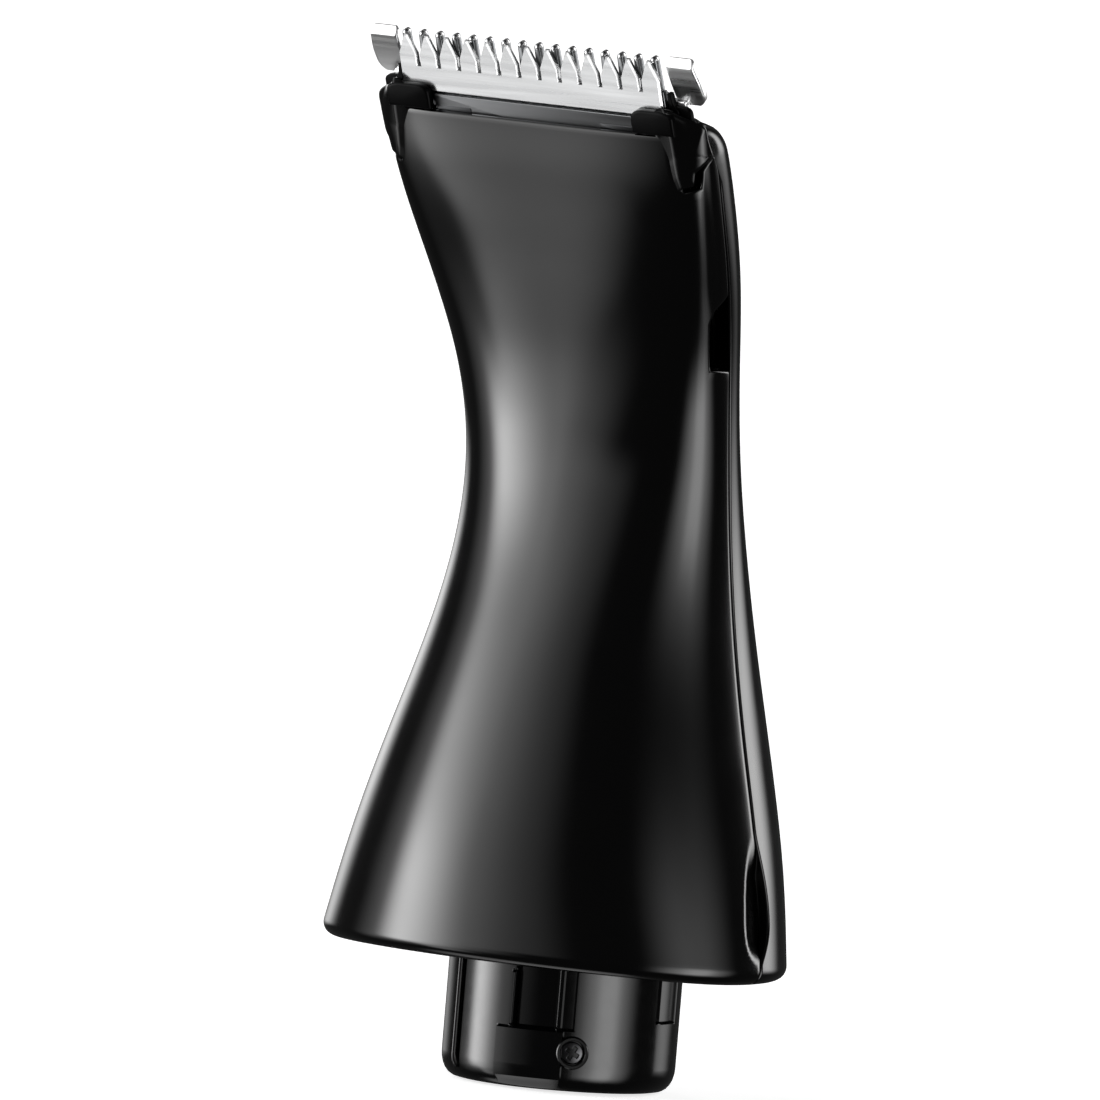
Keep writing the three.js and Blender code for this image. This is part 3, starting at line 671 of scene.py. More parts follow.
def row_of(count, pitch):
    """The middles of count teeth at a pitch, about X = 0."""
    return (np.arange(count) - (count - 1) / 2) * pitch


def comb_outline():
    """The comb's edge: a plate with a row of teeth, each with straight sides and a round tip."""
    s = sizes()
    root, tip, low = COMB["root_half"], COMB["tip_radius"], COMB["root_z"]
    turn = np.linspace(np.pi, 0, 9)
    x = np.concatenate([[-root], tip * np.cos(turn), [root]])
    z = np.concatenate([[low], tip * np.sin(turn) - tip, [low]])
    middle = row_of(s.comb_teeth, s.comb_pitch)
    teeth = np.stack([(middle[:, None] + x).ravel(), np.tile(z, s.comb_teeth)], 1)
    half, bottom = COMB["half_width"], COMB["bottom_z"]
    return np.concatenate([[[-half, low]], teeth, [[half, low], [half, bottom],
                                                   [-half, bottom]]])


def cutter_outline():
    """The cutter's edge: a bar with pointed teeth and a thin slot between each two."""
    s = sizes()
    foot, tip = s.cutter_pitch / 2 - CUTTER["slot_half"], CUTTER["tip_half"]
    x = np.array([-foot, -foot, -tip, tip, foot, foot])
    z = np.array([CUTTER[k] for k in ("slot_z", "valley_z", "tip_z", "tip_z", "valley_z",
                                      "slot_z")])
    middle = row_of(s.cutter_teeth, s.cutter_pitch)
    points = np.stack([(middle[:, None] + x).ravel(), np.tile(z, s.cutter_teeth)], 1)
    return np.concatenate([points, [[middle[-1] + foot, CUTTER["bottom_z"]],
                                    [middle[0] - foot, CUTTER["bottom_z"]]]])


def lobe_face(inset):
    """The lobe's outer face: x, y and z in the blade's frame, and how far down each row is.

    y and z follow quadratic curves down the face, which curls back. The inner and outer
    edges are drawn in by quarter circles at the head and at the foot.
    """
    down = np.linspace(0, 1, 40)[:, None]
    across = np.linspace(0, 1, 26)[None]
    run = inset / LOBE["length"] + down * (1 - 2 * inset / LOBE["length"])
    foot = np.clip((run - LOBE["foot"]) / (1 - LOBE["foot"]), 0, 1)
    head = np.clip((LOBE["head"] - run) / LOBE["head"], 0, 1)
    corner = LOBE_CORNERS
    inner = (LOBE["inner"] + corner["inner_head"] * quarter_circle(head)
             + corner["inner_foot"] * quarter_circle(foot ** 2) + inset)
    outer = (LOBE["outer"] + corner["flare"] * smooth(run, 0, 0.6)
             - corner["outer_foot"] * quarter_circle(foot)
             - corner["outer_head"] * quarter_circle(head) - inset)
    x = inner + (outer - inner) * across
    return x, quadratic(run, *LOBE["y"]), quadratic(run, *LOBE["z"]), run


def lobe_body():
    """The lobe, bright from its reflections and from painted light: a sheet that curls back, with a
    bevelled top.
    """
    layers = []
    for inset, depth in round_edge(LOBE["edge"], LOBE["thickness"], LOBE["edge"]):
        x, y, z, run = lobe_face(inset)
        bevel = LOBE["bevel_depth"] * np.clip((LOBE["bevel"] - run) / LOBE["bevel"], 0, 1)
        lean = np.radians(5 + 22 * run)
        back = depth + bevel * (1 - depth / LOBE["thickness"])
        layers.append(from_blade(x, y + back * np.cos(lean), z + back * np.sin(lean)))
    layers = np.array(layers)
    return walled(layers, np.ones((layers.shape[1] - 1, layers.shape[2] - 1), bool))


def comb_body():
    """Comb plate and teeth."""
    half = COMB["half_thickness"]
    return right_way(plate(comb_outline(), bevelled(-half, half, 0.12, 0.1), facing))


def tips_body():
    """A bead on each comb tooth in lighter steel, painted light: an ellipsoid from two angles,
    closed at its poles.
    """
    s = sizes()
    rise = np.linspace(-np.pi / 2, np.pi / 2, BEAD["rings"] + 2)[1:-1, None]
    turn = np.linspace(0, 2 * np.pi, BEAD["around"], endpoint=False)[None]
    x = BEAD["radius"] * np.cos(rise) * np.cos(turn)
    y = BEAD["depth"] * np.cos(rise) * np.sin(turn)
    z = BEAD["radius"] * np.sin(rise) - BEAD["low"]
    faces = capped(BEAD["rings"], BEAD["around"])
    return joined(*(right_way((from_blade(middle + x, y, z).reshape(-1, 3), faces))
                    for middle in row_of(s.comb_teeth, s.comb_pitch)))


def lobes_body():
    """The two lobes at the comb's ends and the arms that carry them."""
    arm = rounded([[13.5, -5.4], [15.6, -5.4], [15.6, -4.2], [13.5, -4.2]], 0.2)
    arms = both_sides(plate(arm, bevelled(0.3, 1.1, 0.1, 0.1, 2), facing))
    return joined(arms, both_sides(lobe_body()))


def cutter_body():
    """The cutter's plate, with a wide bevel on the face that shows."""
    levels = [(0.11, CUTTER["front"]), (0.0, CUTTER["front"] + 0.2), (0.0, CUTTER["back"])]
    return right_way(plate(cutter_outline(), levels, facing))


def strip_body():
    """The guide strip between the cutter and the lip."""
    strip = rounded([[-10.75, -9.8], [10.75, -9.8], [10.75, -5.62], [-10.75, -5.62]], 0.12)
    return right_way(plate(strip, bevelled(-0.8, -0.45, 0.06, 0.06, 2), facing))


def strip_feet():
    """Two low pads on the strip's lower ends."""
    pad = rounded([[6.9, -7.6], [10.5, -7.6], [10.5, -6.6], [6.9, -6.6]], 0.15)
    return both_sides(plate(pad, bevelled(-0.83, -0.76, 0.03, 0.02, 2), facing))


# ------------------------------------------------------------------ blade carrier

# The ear from its foot over the fold to its top: heights, what each gains from the front
# edge to the rear one, how far it stands proud of the housing, how far in its top ends, its
# gaps to the opening, and how far it leans to the front.
EAR = {"foot": 80.2, "foot_rise": 0.45, "fold": 82.9, "fold_rise": 2.5, "top": 87.3,
       "top_drop": 0.6, "proud": 0.22, "inner": 14.4, "inner_step": 1.0, "thickness": 2.2,
       "edge": 0.32, "gap": 0.62, "fold_share": 0.55, "rear_gap": 0.42, "seam_gap": 0.3,
       "lean": 0.42, "rear_upright": 0.25}
EAR_INWARD = np.array([-0.86, 0.28, -0.42])

# Plates on the right: an outline in the blade's X and Z, each corner's rounding, the arc steps,
# and the levels along the blade's Y with the rounding at each. First the post, its side and
# its seat.
POST_PLATES = [
    ([[10.8, -6.85], [15.3, -6.85], [15.3, -5.0], [14.3, -4.62], [10.8, -4.62]],
     [0, 0, 0.4, 0.4, 1.3], 6, (-1.6, -0.95, 0.22, 0.02)),
    ([[14.2, -6.6], [15.2, -6.6], [15.2, -4.9], [14.75, -4.4], [14.6, -3.3], [14.2, -3.3]],
     [0, 0, 0.3, 0.3, 0.1, 0.1], 4, (-0.28, 0.28, 0.08, 0.02)),
    ([[14.3, -6.2], [16.4, -6.2], [16.4, -4.85], [15.9, -4.55], [14.3, -4.4]],
     [0, 0, 0.3, 0.3, 0], 4, (-0.12, 0.27, 0.1, 0.02)),
]
# Then the wall behind the comb and the tie that joins it to the post.
CORE_PLATES = [
    ([[4.7, -7.6], [13.1, -7.6], [13.1, -3.9], [4.7, -3.9]], 0.2, 4, (0.62, 1.6, 0.1, 0.1)),
    ([[14.15, -9.6], [14.9, -9.6], [14.9, -5.7], [14.15, -5.7]], 0.1, 4, (-0.6, 0.9, 0.1, 0.1)),
]
# Lower and upper level of the cheeks and the bridge behind the comb.
CORE_LEVELS = (-12.5, -7.0)


def ear_face(inset):
    """The ear's outer face: u runs from its front edge to its rear one, v from foot to top.

    Up to the fold it is the housing's own surface, a little proud of it. Above the fold a
    quarter ellipse turns it inwards and to the front, with the blade's lean.
    """
    share = EAR["fold_share"]
    v = np.concatenate([np.linspace(0, share, 22, endpoint=False), np.linspace(share, 1, 26)])
    v = v[:, None]
    u = np.linspace(0, 1, 28)[None]
    foot = EAR["foot"] + EAR["foot_rise"] * u + inset
    fold = EAR["fold"] + EAR["fold_rise"] * smooth(u, 0.0, 1.0)
    top = EAR["top"] - EAR["top_drop"] * u ** 2
    z = foot + (fold - foot) * np.clip(v / share, 0, 1)
    front = opening_t(z) + angle_step(OPENING_T, z, EAR["gap"] + inset)
    rear_edge = np.where(z < EAR_Z["tip"], tongue_y(z) - EAR["rear_gap"],
                         seam_y(z) - EAR["seam_gap"])
    rear = angle_at(rear_edge, z) - angle_step(EAR_REAR_T, z, inset)
    t = front + (rear - front) * u
    points = section_point(t, z) + section_normal(t, z) * EAR["proud"]
    turn = np.clip((v - share) / (1 - share), 0, 1) * np.pi / 2
    rise = (top - inset - fold) * np.sin(turn)
    inner = EAR["inner"] + EAR["inner_step"] * u ** 2
    points[..., 0] -= (points[..., 0] - inner) * (1 - np.cos(turn))
    points[..., 1] -= EAR["lean"] * rise * (1 - EAR["rear_upright"] * u)
    points[..., 2] += rise
    return points


def ear_body():
    """The ear: a thick pad that carries on the housing's side and closes over as a dome."""
    layers = np.array([ear_face(inset) + EAR_INWARD * depth for inset, depth in
                       round_edge(EAR["edge"], EAR["thickness"], 0.2, 5)])
    return walled(layers, np.ones((layers.shape[1] - 1, layers.shape[2] - 1), bool))


def plates(rows):
    """Plates on the right from (outline, rounding, arc steps, levels), each right way round."""
    return joined(*(right_way(plate(rounded(outline, radius, steps), bevelled(*levels), facing))
                    for outline, radius, steps, levels in rows))


def carrier_body():
    """The carrier: cheeks rounded towards the back, a bridge that spans them, and the posts."""
    cheek = rounded([[4.7, 0.65], [14.9, 0.65], [14.9, 1.9], [12.6, 4.1], [8.0, 4.6], [4.7, 4.6]],
                    [0.1, 0.2, 0.4, 1.5, 2.0, 0.2])
    bridge = rounded([[-4.9, 3.95], [4.9, 3.95], [4.9, 4.6], [-4.9, 4.6]], 0.05)
    return joined(both_sides(plate(cheek, bevelled(*CORE_LEVELS, 0.25, 0.25), from_blade)),
                  right_way(plate(bridge, bevelled(*CORE_LEVELS, 0.15, 0.15), from_blade)),
                  both_sides(plates(CORE_PLATES + POST_PLATES)))


# ------------------------------------------------------------------ coupling plug

# Features of the plug's wall: azimuth from and to, height from and to, and how far it stands out.
PLUG_FEATURES = [
    (-27.8, -23.0, 1.2, 14, -0.8),
    (-29.6, -28.6, 1.2, 14, 0.12),
    (8.6, 10.4, 5.5, 10.2, 0.3),
    (10.8, 13.0, 5.5, 14, -0.7),
    (13.0, 32.0, 5.5, 14, -0.35),
    (32.4, 35.0, 5.45, 14, 0.25),
    (35.0, 41.0, 5.45, 14, -0.3),
    (2.5, 36.2, 0.8, 5.35, 0.4),
    (88.2, 93.2, 6.35, 14, -0.85),
    (93.2, 108.0, 6.35, 14, -0.35),
    (151.0, 158.0, 1.2, 14, -0.75),
    (205.0, 220.0, 6.35, 14, -0.7),
]
# How soft a feature's edge is: half its width round the plug in degrees, and along Z.
SOFT_ANGLE, SOFT_HEIGHT = 0.45, 0.12
# The quarter ellipse at the plug's lower edge.
FOOT_WIDTH, FOOT_HEIGHT = 1.35, 2.09
# The flange: how far inside the housing's section each ring is, and its height.
FLANGE = ((2.0, 12.72), (1.9, 12.75), (1.75, 12.9), (1.75, 14.5), (1.9, 14.6))


def plug_angles():
    """Angles round the plug: even steps, and some close together at each feature's edge."""
    edges = np.array(sorted({edge for feature in PLUG_FEATURES for edge in feature[:2]}))
    near = [edges + SOFT_ANGLE * k for k in (-2, -1, 0, 1, 2)]
    around = np.unique(np.round(np.concatenate([np.arange(-180, 180, 2.2)] + near), 2))
    return np.unique(np.radians(np.where(around > 180, around - 360, around)))


def plug_profile():
    """Radius and height down the bore, over the end's rounded foot and up the wall."""
    s = sizes()
    r, bore = s.plug_radius, s.bore_radius
    steps = sorted({z for feature in PLUG_FEATURES for z in feature[2:4] if 2.3 < z < 12})
    near = [z + SOFT_HEIGHT * np.array([-1, -1 / 3, 1 / 3, 1]) for z in steps]
    wall_z = np.unique(np.round(np.concatenate([np.linspace(2.2, 12.5, 22)] + near), 3))
    path = [(6.6, 14.6), (6.6, 10.9), (bore, 10.8), (bore, 0.35), (bore + 0.1, 0.1),
            (bore + 0.35, 0)]
    path += [(r - FOOT_WIDTH * (1 - np.sin(a)), FOOT_HEIGHT * (1 - np.cos(a)))
             for a in np.linspace(0, np.pi / 2, 7)]
    return np.array(path + [(r, z) for z in wall_z])


def feature_step(degrees, z):
    """How far the features move the wall, each a height times smooth steps at its four edges."""
    total = 0 * z
    for start, end, low, high, height in PLUG_FEATURES:
        turns = 360 if start > 180 else 0
        start, end = start - turns, end - turns
        across = (smooth(degrees, start - SOFT_ANGLE, start + SOFT_ANGLE)
                  * (1 - smooth(degrees, end - SOFT_ANGLE, end + SOFT_ANGLE)))
        up = (smooth(z, low - SOFT_HEIGHT, low + SOFT_HEIGHT)
              * (1 - smooth(z, high - SOFT_HEIGHT, high + SOFT_HEIGHT)))
        total += height * across * up
    return total


def plug_body():
    """The plug as one closed tube of rings: a profile of radius and height, turned about Z.

    The profile runs down the bore, out over the end face and up the wall with its features,
    then out to the flange, whose edge follows the housing's section inside its wall.
    """
    r = sizes().plug_radius
    around = plug_angles()
    profile = plug_profile()
    z = profile[:, 1:] + 0 * around
    radius = profile[:, :1] + 0 * around
    radius += feature_step(np.degrees(around)[None], z) * smooth(radius, r - 0.9, r - 0.15)
    rings = [np.stack([radius * np.sin(around), -radius * np.cos(around), z], -1)]
    t = np.arctan2(-np.cos(around), np.sin(around))
    for inset, height in FLANGE:
        level = np.full_like(t, height)
        ring = section_point(t, level) - section_normal(t, level) * inset
        ring[:, 2] = height
        rings.append(ring[None])
    rings = np.concatenate(rings)
    return rings.reshape(-1, 3), ring_quads(len(rings), len(around), closed=True)


def screw_place(radius, turn, height):
    """Points about the side screw's axis: radius and turn about it, height out of the plug."""
    s = sizes()
    sine, cosine = np.sin(s.screw_azimuth), np.cos(s.screw_azimuth)
    out, side = np.array([sine, -cosine, 0.0]), np.array([cosine, sine, 0.0])
    radius, turn, height = np.broadcast_arrays(radius, turn, height)
    points = (radius * np.cos(turn))[..., None] * side + (height + s.plug_radius)[..., None] * out
    points[..., 2] += s.screw_z + radius * np.sin(turn)
    return points


def cross_recess(a, b):
    """Depth of the screw's cross at two places across its axis: two arms that fade outwards."""
    slant = 0.5
    a, b = (a * np.cos(slant) - b * np.sin(slant), a * np.sin(slant) + b * np.cos(slant))
    arm = np.minimum(np.abs(a), np.abs(b))
    reach = np.maximum(np.abs(a), np.abs(b))
    return 0.42 * (1 - smooth(arm, 0.13, 0.2)) * (1 - smooth(reach, 0.52, 0.64))


def screw_body():
    """The side screw: a low domed head with a cross recess, and a shank into the plug."""
    count = 96
    dome = [(q, 0.26 - 0.16 * q ** 2) for q in np.linspace(0.9, 0.03, 26)]
    profile = [(0.58, -3.2), (0.58, -0.5), (1.0, -0.45), (1.0, 0.03), (0.97, 0.09), *dome]
    turn = np.linspace(0, 2 * np.pi, count, endpoint=False)
    rings = []
    for radius, height in profile:
        low = cross_recess(radius * np.cos(turn), radius * np.sin(turn)) * (height > 0)
        rings.append(screw_place(radius, turn, height - low))
    return right_way((np.concatenate(rings), capped(len(profile), count)))


def boss_body():
    """The round boss about the side screw, a ring that stands off the plug's wall."""
    edge = [(1.08, -0.5), (1.08, 0.36), (1.14, 0.43), (1.34, 0.43), (1.42, 0.36), (1.47, 0.1),
            (1.5, -0.5)]
    turn = np.linspace(0, 2 * np.pi, 72, endpoint=False)
    rings = np.concatenate([screw_place(q, turn, h) for q, h in edge])
    return rings, ring_quads(len(edge), len(turn), closed=True)


# ------------------------------------------------------------------ finishes

def new_finish(name, base, values):
    """A Principled material with its plain values set, and the node tree to add detail to."""
    material = bpy.data.materials.new("look_" + name)
    material.use_nodes = True
    tree = material.node_tree
    shader = tree.nodes["Principled BSDF"]
    shader.inputs["Base Color"].default_value = base
    for socket, value in values.items():
        shader.inputs[socket].default_value = value
    return material, tree, shader


def noise(tree, scale, stretch=(1, 1, 1), detail=3.0):
    """Noise on object coordinates, stretched by a Mapping node."""
    place = tree.nodes.new("ShaderNodeTexCoord")
    mapping = tree.nodes.new("ShaderNodeMapping")
    mapping.inputs["Scale"].default_value = stretch
    texture = tree.nodes.new("ShaderNodeTexNoise")
    texture.inputs["Scale"].default_value = scale
    texture.inputs["Detail"].default_value = detail
    tree.links.new(place.outputs["Object"], mapping.inputs["Vector"])
    tree.links.new(mapping.outputs["Vector"], texture.inputs["Vector"])
    return texture


def vary_roughness(tree, shader, source, low, high):
    """Roughness from low to high with the noise."""
    grain = tree.nodes.new("ShaderNodeMapRange")
    for socket, value in (("From Min", 0.3), ("From Max", 0.7), ("To Min", low), ("To Max", high)):
        grain.inputs[socket].default_value = value
    tree.links.new(source.outputs["Fac"], grain.inputs["Value"])
    tree.links.new(grain.outputs["Result"], shader.inputs["Roughness"])


def vary_colour(tree, shader, source, base, amount):
    """Base colour from darker to lighter by amount with the noise."""
    mix = tree.nodes.new("ShaderNodeMix")
    mix.data_type = "RGBA"
    for socket, share in (("A", 1 - amount), ("B", 1 + amount)):
        mix.inputs[socket].default_value = (*(min(c * share, 1) for c in base[:3]), 1)
    tree.links.new(source.outputs["Fac"], mix.inputs["Factor"])
    tree.links.new(mix.outputs["Result"], shader.inputs["Base Color"])


def bump(tree, shader, source, distance, strength):
    """Relief from the noise, distance high in metres."""
    node = tree.nodes.new("ShaderNodeBump")
    node.inputs["Distance"].default_value = distance
    node.inputs["Strength"].default_value = strength
    tree.links.new(source.outputs["Fac"], node.inputs["Height"])
    tree.links.new(node.outputs["Normal"], shader.inputs["Normal"])


# Moulded and plated finishes: plain values, then the noise in the gloss (scale, detail, least
# and most roughness), in the colour (scale, amount), and the grain (scale, detail, height in
# metres, strength).
MOULDED = {
    # polished plastic, with the faint flow of the moulding in its gloss
    "gloss_black": ({"Roughness": 0.1, "IOR": 1.5}, (160, 3, 0.12, 0.16), (40, 0.15), None),
    # fine-textured plastic, a little uneven where it was handled
    "satin_black": ({"Roughness": 0.3, "IOR": 1.5}, (900, 5, 0.12, 0.18), (120, 0.25),
                    (4000, 1, 0.0000012, 0.4)),
    # dull plastic that takes little light
    "carrier_black": ({"Roughness": 0.4, "Specular IOR Level": 0.07}, (700, 3, 0.34, 0.48),
                      (150, 0.25), None),
    # dark plated steel with fine tool marks
    "screw_steel": ({"Metallic": 1.0, "Roughness": 0.32}, (700, 3, 0.26, 0.42), (300, 0.2), None),
    # natural acetal, a little mottled
    "lever_plastic": ({"Roughness": 0.45}, (300, 3, 0.38, 0.52), (90, 0.05), None),
    # matt rubber with a fine grain
    "seal_rubber": ({"Roughness": 0.8}, None, (400, 0.3), (2500, 3, 0.00001, 1.0)),
}
# Ground metals: how the lines are stretched along X, Y and Z, roughness, and depth in metres.
GROUND = {
    "blade_steel": ((0.12, 3, 3), 0.24, 0.000004),
    # the lobes and tips: a lighter copy of the blade steel, painted light
    "lobe_steel": ((0.12, 3, 3), 0.34, 0.000002),
    # the comb's teeth: a darker copy of the blade steel, painted shade
    "comb_steel": ((3, 3, 0.1), 0.3, 0.000003),
    "strip_steel": ((0.08, 3, 3), 0.42, 0.000003),
    "pad_steel": ((0.08, 3, 3), 0.42, 0.000003),
    "bush_brass": ((2, 0.1, 2), 0.3, 0.000003),
}


def moulded(name, base):
    """A moulded or plated finish, uneven in its gloss and colour, and grained if it has a grain."""
    values, gloss, tint, grain = MOULDED[name]
    material, tree, shader = new_finish(name, base, values)
    if gloss:
        scale, detail, least, most = gloss
        vary_roughness(tree, shader, noise(tree, scale, detail=detail), least, most)
    scale, amount = tint
    vary_colour(tree, shader, noise(tree, scale), base, amount)
    if grain:
        scale, detail, height, strength = grain
        bump(tree, shader, noise(tree, scale, detail=detail), height, strength)
    return material


def ground_metal(name, base):
    """Ground metal: fine lines along one axis in its colour, gloss and height."""
    stretch, rough, depth = GROUND[name]
    material, tree, shader = new_finish(name, base, {"Metallic": 1.0, "Roughness": rough})
    lines = noise(tree, 600, stretch, 4)
    vary_roughness(tree, shader, lines, rough * 0.75, rough * 1.3)
    vary_colour(tree, shader, lines, base, 0.12)
    bump(tree, shader, lines, depth, 0.5)
    return material


def finish(name):
    """The material of a finish, made once."""
    made = bpy.data.materials.get("look_" + name)
    if made:
        return made
    base = getattr(bpy.context.scene.head_colours, name)[:]
    return ground_metal(name, base) if name in GROUND else moulded(name, base)


# ------------------------------------------------------------------ studio

# Soft boxes of the studio: azimuth from and to (from the front towards +X), how soft each of
# those edges is, elevation from and to, how soft those are, and strength.
SOFTBOXES = [
    (-57, -57, 13, 27, -7, 1, 22, 35, 8.7),
    (-53, -46, 34, 38, -11, 49, 29, 20, 1.85),
    (-51, -51, 7, 18, -35, -23, 12, 10, 1.9),
    (71, 85, 29, 32, -25, -9, 22, 41, 3.3),
    (76, 85, 11, 12, -25, 2, 26, 17, 1.9),
    (148, 153, 6, 23, 15, 35, 30, 20, 5.6),
    (-119, -119, 25, 18, 4, 24, 13, 16, 2.3),
    (-35, -15, 22, 27, 3, 32, 15, 25, 0.6),
    (-135, -85, 15, 18, -80, -56, 8, 8, 0.9),
]


def maths(tree, operation, *values):
    """The output of a Math node on sockets or plain numbers."""
    node = tree.nodes.new("ShaderNodeMath")
    node.operation = operation
    for socket, value in zip(node.inputs, values):
        if isinstance(value, (int, float)):
            socket.default_value = value
        else:
            tree.links.new(value, socket)
    return node.outputs[0]


def world_light(tree, azimuth, elevation, box):
    """One soft box: four smooth edges in azimuth and elevation, multiplied together."""
    left, right, soft_left, soft_right, low, high, soft_low, soft_high, strength = box
    total = strength
    for source, start, end, rising in ((azimuth, left - soft_left, left, True),
                                       (azimuth, right, right + soft_right, False),
                                       (elevation, low - soft_low, low, True),
                                       (elevation, high, high + soft_high, False)):
        node = tree.nodes.new("ShaderNodeMapRange")
        node.interpolation_type = "SMOOTHSTEP"
        for socket, value in (("From Min", start), ("From Max", end),
                              ("To Min", 0.0 if rising else 1.0),
                              ("To Max", 1.0 if rising else 0.0)):
            node.inputs[socket].default_value = value
        tree.links.new(source, node.inputs["Value"])
        total = maths(tree, "MULTIPLY", node.outputs["Result"], total)
    return total


def background(tree, strength):
    """A white Background node with a strength that is a number or a socket."""
    node = tree.nodes.new("ShaderNodeBackground")
    node.inputs["Color"].default_value = (1, 1, 1, 1)
    if isinstance(strength, float):
        node.inputs["Strength"].default_value = strength
    else:
        tree.links.new(strength, node.inputs["Strength"])
    return node.outputs[0]


def light_studio():
    """A world of soft boxes for everything but the camera, which sees a plain backdrop."""
    stage = bpy.context.scene.head_stage
    world = bpy.data.worlds.new("studio")
    bpy.context.scene.world = world
    world.use_nodes = True
    tree = world.node_tree
    tree.nodes.clear()
    place = tree.nodes.new("ShaderNodeTexCoord")
    split = tree.nodes.new("ShaderNodeSeparateXYZ")
    tree.links.new(place.outputs["Generated"], split.inputs[0])
    x, y, z = split.outputs
    turn = maths(tree, "ARCTAN2", x, maths(tree, "MULTIPLY", y, -1.0))
    azimuth = maths(tree, "MULTIPLY", turn, 180 / np.pi)
    elevation = maths(tree, "MULTIPLY", maths(tree, "ARCSINE", z), 180 / np.pi)
    total = stage.fill
    for box in SOFTBOXES:
        total = maths(tree, "ADD", world_light(tree, azimuth, elevation, box), total)
    path = tree.nodes.new("ShaderNodeLightPath")
    mix = tree.nodes.new("ShaderNodeMixShader")
    output = tree.nodes.new("ShaderNodeOutputWorld")
    tree.links.new(path.outputs["Is Camera Ray"], mix.inputs[0])
    tree.links.new(background(tree, total), mix.inputs[1])
    tree.links.new(background(tree, stage.backdrop), mix.inputs[2])
    tree.links.new(mix.outputs[0], output.inputs["Surface"])


def lay_floor():
    """A plain pale floor just under the plug, kept out of the gloss of the housing."""
    reach, low = 6.0, -0.0002
    mesh = bpy.data.meshes.new("floor")
    mesh.from_pydata([(-reach, -reach, low), (reach, -reach, low), (reach, reach, low),
                      (-reach, reach, low)], [], [(0, 1, 2, 3)])
    floor = bpy.data.objects.new("floor", mesh)
    bpy.context.scene.collection.objects.link(floor)
    base = bpy.context.scene.head_colours.floor[:]
    material, _, shader = new_finish("pale_floor", base, {"Roughness": 0.9})
    shader.inputs["Emission Color"].default_value = (1, 1, 1, 1)
    shader.inputs["Emission Strength"].default_value = 0.75
    mesh.materials.append(material)
    floor.visible_glossy = False
    floor.visible_diffuse = False


def place_camera():
    """The camera on its azimuth and elevation, turned about its own axis by the roll."""
    stage = bpy.context.scene.head_stage
    azimuth, elevation, roll = stage.azimuth, stage.elevation, stage.roll
    back = np.array([np.sin(azimuth) * np.cos(elevation), -np.cos(azimuth) * np.cos(elevation),
                     np.sin(elevation)])
    right = np.array([np.cos(azimuth), np.sin(azimuth), 0.0])
    up = np.cross(back, right)
    across = right * np.cos(roll) + up * np.sin(roll)
    upward = up * np.cos(roll) - right * np.sin(roll)
    spot = HEAD_MIDDLE * MM - across * stage.side_offset + back * stage.distance
    camera = bpy.data.objects.new("camera", bpy.data.cameras.new("camera"))
    camera.data.lens = stage.lens
    camera.data.sensor_width = 36
    camera.data.clip_start, camera.data.clip_end = 0.05, 50
    turn = Matrix((across, upward, back)).transposed().to_4x4()
    camera.matrix_world = Matrix.Translation(Vector(spot)) @ turn
    bpy.context.scene.collection.objects.link(camera)
    bpy.context.scene.camera = camera


# ------------------------------------------------------------------ operators

class HEAD_OT_set_stage(bpy.types.Operator):
    """Place the camera, the studio light and the floor"""

    bl_idname = "head.set_stage"
    bl_label = "Stage"

    def execute(self, context):
        context.scene.view_settings.view_transform = "Standard"
        place_camera()
        light_studio()
        lay_floor()
        return {"FINISHED"}


class HEAD_OT_make_shells(bpy.types.Operator):
    """Build the front and rear shells"""

    bl_idname = "head.make_shells"
    bl_label = "Shells"

    def execute(self, context):
        add_piece("front_shell_skin", front_shell(), "gloss_black", replaced=["front_shell"])
        add_piece("rear_shell_skin", rear_shell(), "gloss_black", replaced=["rear_shell"])
        return {"FINISHED"}


class HEAD_OT_make_plug(bpy.types.Operator):
    """Build the coupling plug and its side screw"""

    bl_idname = "head.make_plug"
    bl_label = "Plug"

    def execute(self, context):
        add_piece("plug_body", plug_body(), "satin_black", replaced=["coupling_plug"])
        add_piece("plug_screw_boss", boss_body(), "satin_black")
        add_piece("side_screw", screw_body(), "screw_steel", replaced=["plug_screw"], sharp=50)
        return {"FINISHED"}


class HEAD_OT_make_carrier(bpy.types.Operator):
    """Build the blade carrier and the guide strip"""

    bl_idname = "head.make_carrier"
    bl_label = "Carrier"

    def execute(self, context):
        add_piece("carrier_body", carrier_body(), "satin_black", "cartridge", ["blade_carrier"],
                  look="carrier_black")
        add_piece("carrier_ears", both_sides(ear_body()), "gloss_black", "cartridge")
        add_piece("guide_strip", strip_body(), "strip_steel", "cartridge", ["guide_plate"])
        add_piece("strip_pads", strip_feet(), "strip_steel", "cartridge", look="pad_steel")
        return {"FINISHED"}


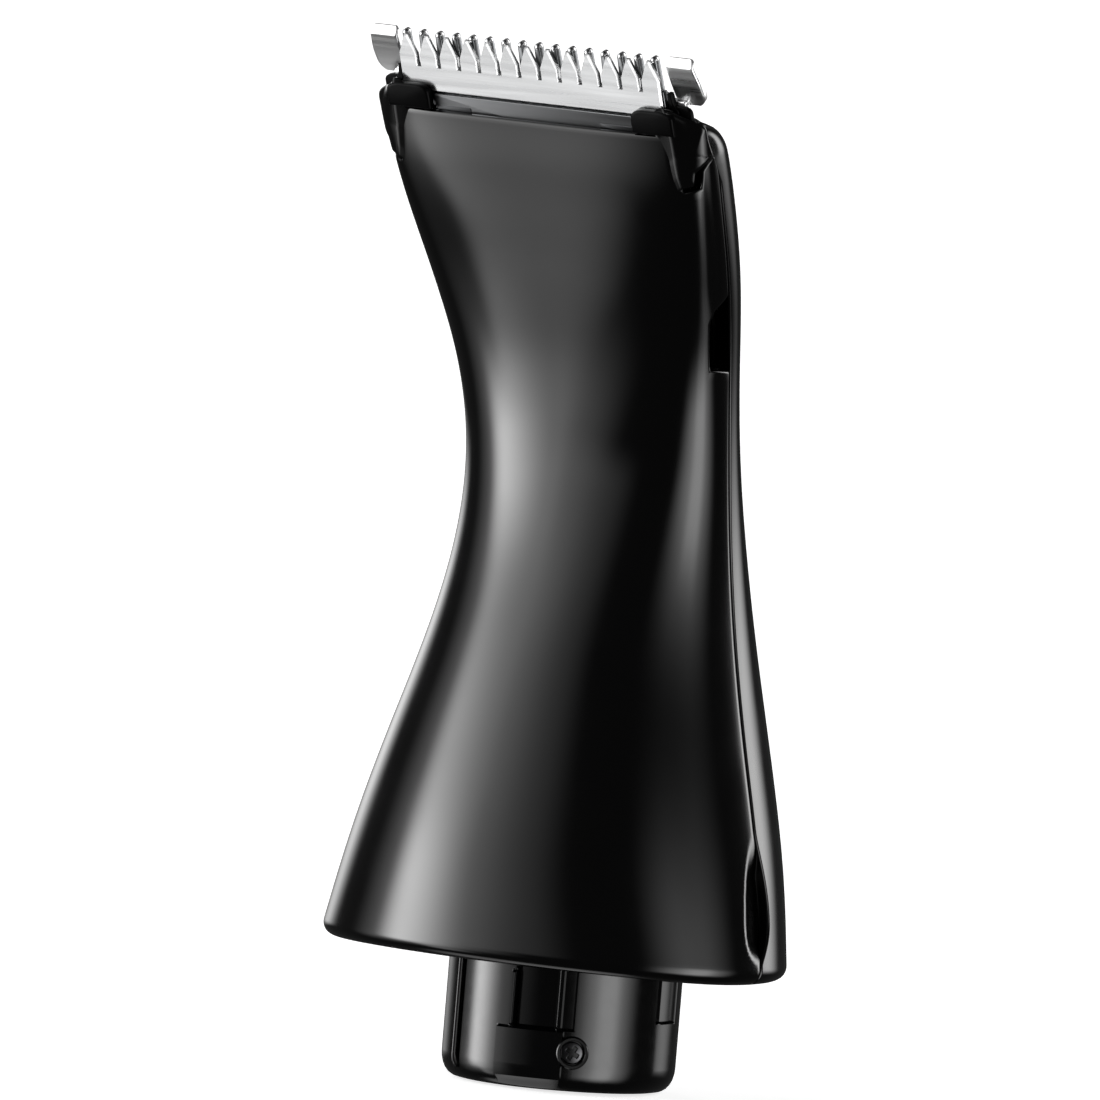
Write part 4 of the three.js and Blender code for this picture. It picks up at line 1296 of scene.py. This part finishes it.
class HEAD_OT_make_blades(bpy.types.Operator):
    """Build the comb and the cutter"""

    bl_idname = "head.make_blades"
    bl_label = "Blades"

    def execute(self, context):
        # the comb's teeth take a darker copy of the blade steel, painted shade
        add_piece("comb", comb_body(), "blade_steel", "cartridge", ["fixed_comb"], sharp=50,
                  look="comb_steel")
        # the tips and the lobes take a lighter copy of the blade steel, painted light
        add_piece("comb_tips", tips_body(), "blade_steel", "cartridge", sharp=70,
                  look="lobe_steel")
        add_piece("comb_lobes", lobes_body(), "blade_steel", "cartridge", sharp=50,
                  look="lobe_steel")
        add_piece("cutter_plate", cutter_body(), "blade_steel", "cutter", ["moving_cutter"],
                  sharp=20)
        return {"FINISHED"}


class HEAD_OT_finish_inner(bpy.types.Operator):
    """Give each CAD node that still shows the finish of its slot"""

    bl_idname = "head.finish_inner"
    bl_label = "Inner pieces"

    def execute(self, context):
        slots = {row["node"]: row["material_slot"] for row in frame["record"]["subparts"]}
        for name, node in frame["nodes"].items():
            if not node.hide_render:
                node.data.materials.clear()
                node.data.materials.append(finish(slots[name]))
        return {"FINISHED"}


class HEAD_PT_panel(bpy.types.Panel):
    """Lists the operators and the sizes"""

    bl_label = "Groomer head"
    bl_space_type = "VIEW_3D"
    bl_region_type = "UI"
    bl_category = "Groomer head"

    def draw(self, context):
        for made in OPERATORS:
            self.layout.operator(made.bl_idname)
        for name, group in GROUPS.items():
            for setting in group.__annotations__:
                self.layout.prop(getattr(context.scene, name), setting)


OPERATORS = (HEAD_OT_set_stage, HEAD_OT_make_shells, HEAD_OT_make_plug, HEAD_OT_make_carrier,
             HEAD_OT_make_blades, HEAD_OT_finish_inner)
GROUPS = {"head_sizes": HeadSizes, "head_colours": HeadColours, "head_stage": StageSettings}
CLASSES = (*GROUPS.values(), *OPERATORS, HEAD_PT_panel)


def register():
    for made in CLASSES:
        bpy.utils.register_class(made)
    for name, group in GROUPS.items():
        setattr(bpy.types.Scene, name, PointerProperty(type=group))


def unregister():
    for name in GROUPS:
        delattr(bpy.types.Scene, name)
    for made in reversed(CLASSES):
        bpy.utils.unregister_class(made)


def main():
    register()
    for made in OPERATORS:
        getattr(bpy.ops.head, made.bl_idname.removeprefix("head."))()


if __name__ == "__main__":
    main()
